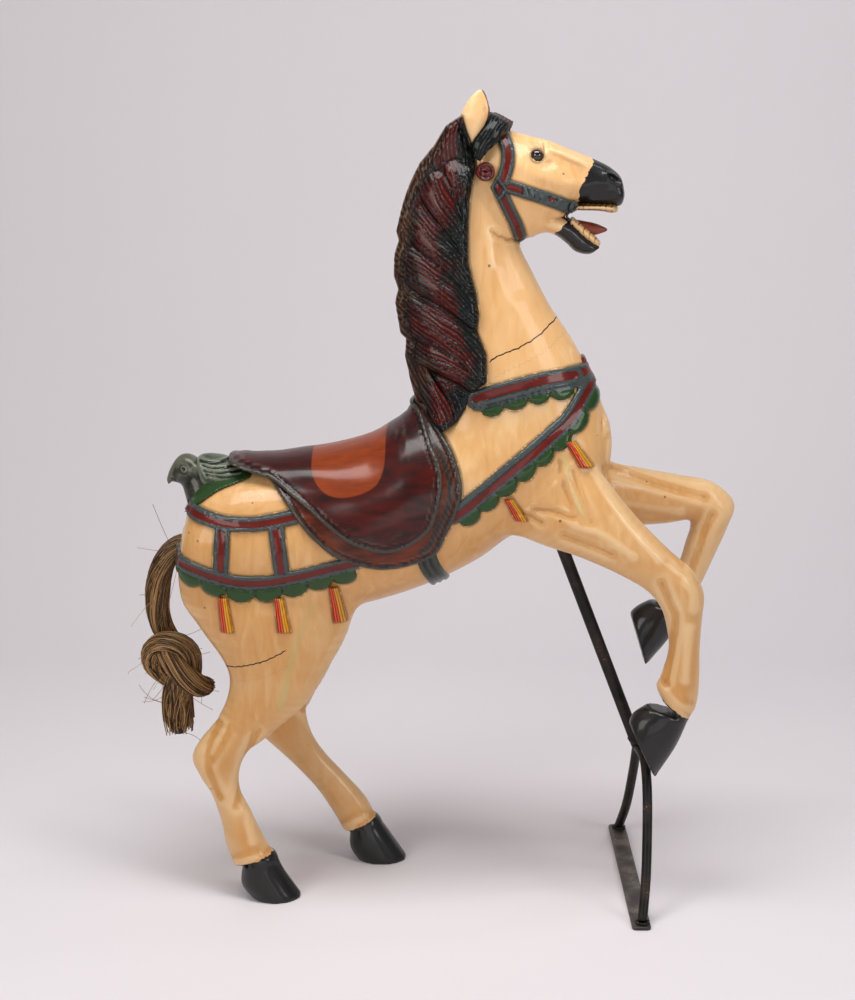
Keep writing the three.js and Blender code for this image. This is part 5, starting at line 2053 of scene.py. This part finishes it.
@dataclass(frozen=True)
class Studio:
    """The camera, the paper sweep and the lights."""

    focal_pixels: float = 1800.0
    eye: tuple[float, float, float] = (-0.0031, -2.835, 1.300)
    pitch: float = 0.2245
    yaw: float = 0.0044
    frame_height: int = 1000

    def build(self) -> None:
        """Makes them all."""
        self.build_camera()
        self.build_paper()
        self.build_lights()

    def build_camera(self) -> None:
        """A camera whose lens gives the photograph's angle: focal length = pixels / frame height * sensor."""
        camera = bpy.data.cameras.new("studio_camera")
        camera.sensor_fit = "VERTICAL"
        camera.sensor_height = 36.0
        camera.lens = self.focal_pixels / self.frame_height * camera.sensor_height
        camera.clip_end = 50
        holder = bpy.data.objects.new("studio_camera", camera)
        holder.location = self.eye
        holder.rotation_euler = (math.pi / 2 - self.pitch, 0, self.yaw)
        bpy.context.scene.collection.objects.link(holder)
        bpy.context.scene.camera = holder

    def build_paper(self) -> None:
        """A sweep of paper: flat floor, then a quarter circle up to a wall."""
        s = np.linspace(0, np.pi / 2, 24)
        floor = np.array([(-3.5, 0), (1.2, 0)])
        bend = np.stack([1.2 + 1.4 * np.sin(s), 1.4 - 1.4 * np.cos(s)], 1)
        line = np.vstack([floor, bend, [(2.6, 4.5)]])
        x = np.linspace(-5, 5, 3)
        points = np.stack(
            [np.broadcast_to(x, (len(line), 3)), np.repeat(line[:, :1], 3, 1), np.repeat(line[:, 1:], 3, 1)], -1
        )
        r, c = np.meshgrid(np.arange(len(line) - 1), np.arange(2), indexing="ij")
        quads = np.stack([r * 3 + c, r * 3 + c + 1, (r + 1) * 3 + c + 1, (r + 1) * 3 + c], -1).reshape(-1, 4)
        paper = make_mesh("paper_sweep", points.reshape(-1, 3) / MM, quads)
        paper.data.materials.append(StudioPaper().material())

    def add_light(self, name: str, place: tuple, aim: tuple, size: tuple[float, float], power: float, hue: str) -> None:
        """An area light at a place, turned to an aim."""
        data = bpy.data.lights.new(name, "AREA")
        data.shape = "RECTANGLE"
        data.size, data.size_y = size
        data.energy = power
        data.color = paint(hue)[:3]
        lamp = bpy.data.objects.new(name, data)
        lamp.location = place
        away = np.array(place) - np.array(aim)
        lamp.rotation_euler = (math.atan2(math.hypot(away[0], away[1]), away[2]), 0, math.atan2(away[0], -away[1]))
        bpy.context.scene.collection.objects.link(lamp)

    def build_lights(self) -> None:
        """A wide overhead box, a tall one at the camera's left, a weaker one at its right, and the room's glow."""
        self.add_light("overhead_box", (-0.1, -0.55, 3.0), (0.0, 0.0, 0.7), (2.4, 0.9), 54, "#FFFFFF")
        self.add_light("left_box", (-2.2, -2.4, 1.9), (0.0, 0.0, 0.7), (1.7, 1.8), 38, "#FFFDF8")
        self.add_light("right_box", (2.4, -2.0, 1.7), (0.0, 0.0, 0.7), (1.0, 1.6), 24, "#FFFFFF")
        self.add_light("front_fill", (0.6, -3.6, 0.8), (0.0, 0.0, 0.5), (3.0, 1.4), 16, "#FFFFFF")
        self.add_light("wall_box", (2.2, 0.6, 3.6), (1.4, 2.6, 2.6), (1.2, 0.8), 16, "#FFFFFF")
        bpy.context.scene.view_settings.view_transform = "Standard"
        world = bpy.data.worlds.new("studio_glow")
        bpy.context.scene.world = world
        world.use_nodes = True
        glow = world.node_tree.nodes["Background"]
        glow.inputs["Color"].default_value = paint("#E9E8EC")
        glow.inputs["Strength"].default_value = 0.2


def main() -> None:
    """Builds every assembly in order."""
    Studio().build()
    CarvedFigure().build()
    log.info("figure done")
    Saddle().build()
    trappings = TrappingPaint().material()
    CRUPPER.build(trappings, "strap_paint")
    BREASTWORK.build(trappings, "strap_paint")
    Mane().build()
    Cantle().build()
    HeadDress().build()
    GlassEyes().build()
    HairTail().build()
    Stand().build()


if __name__ == "__main__":
    main()
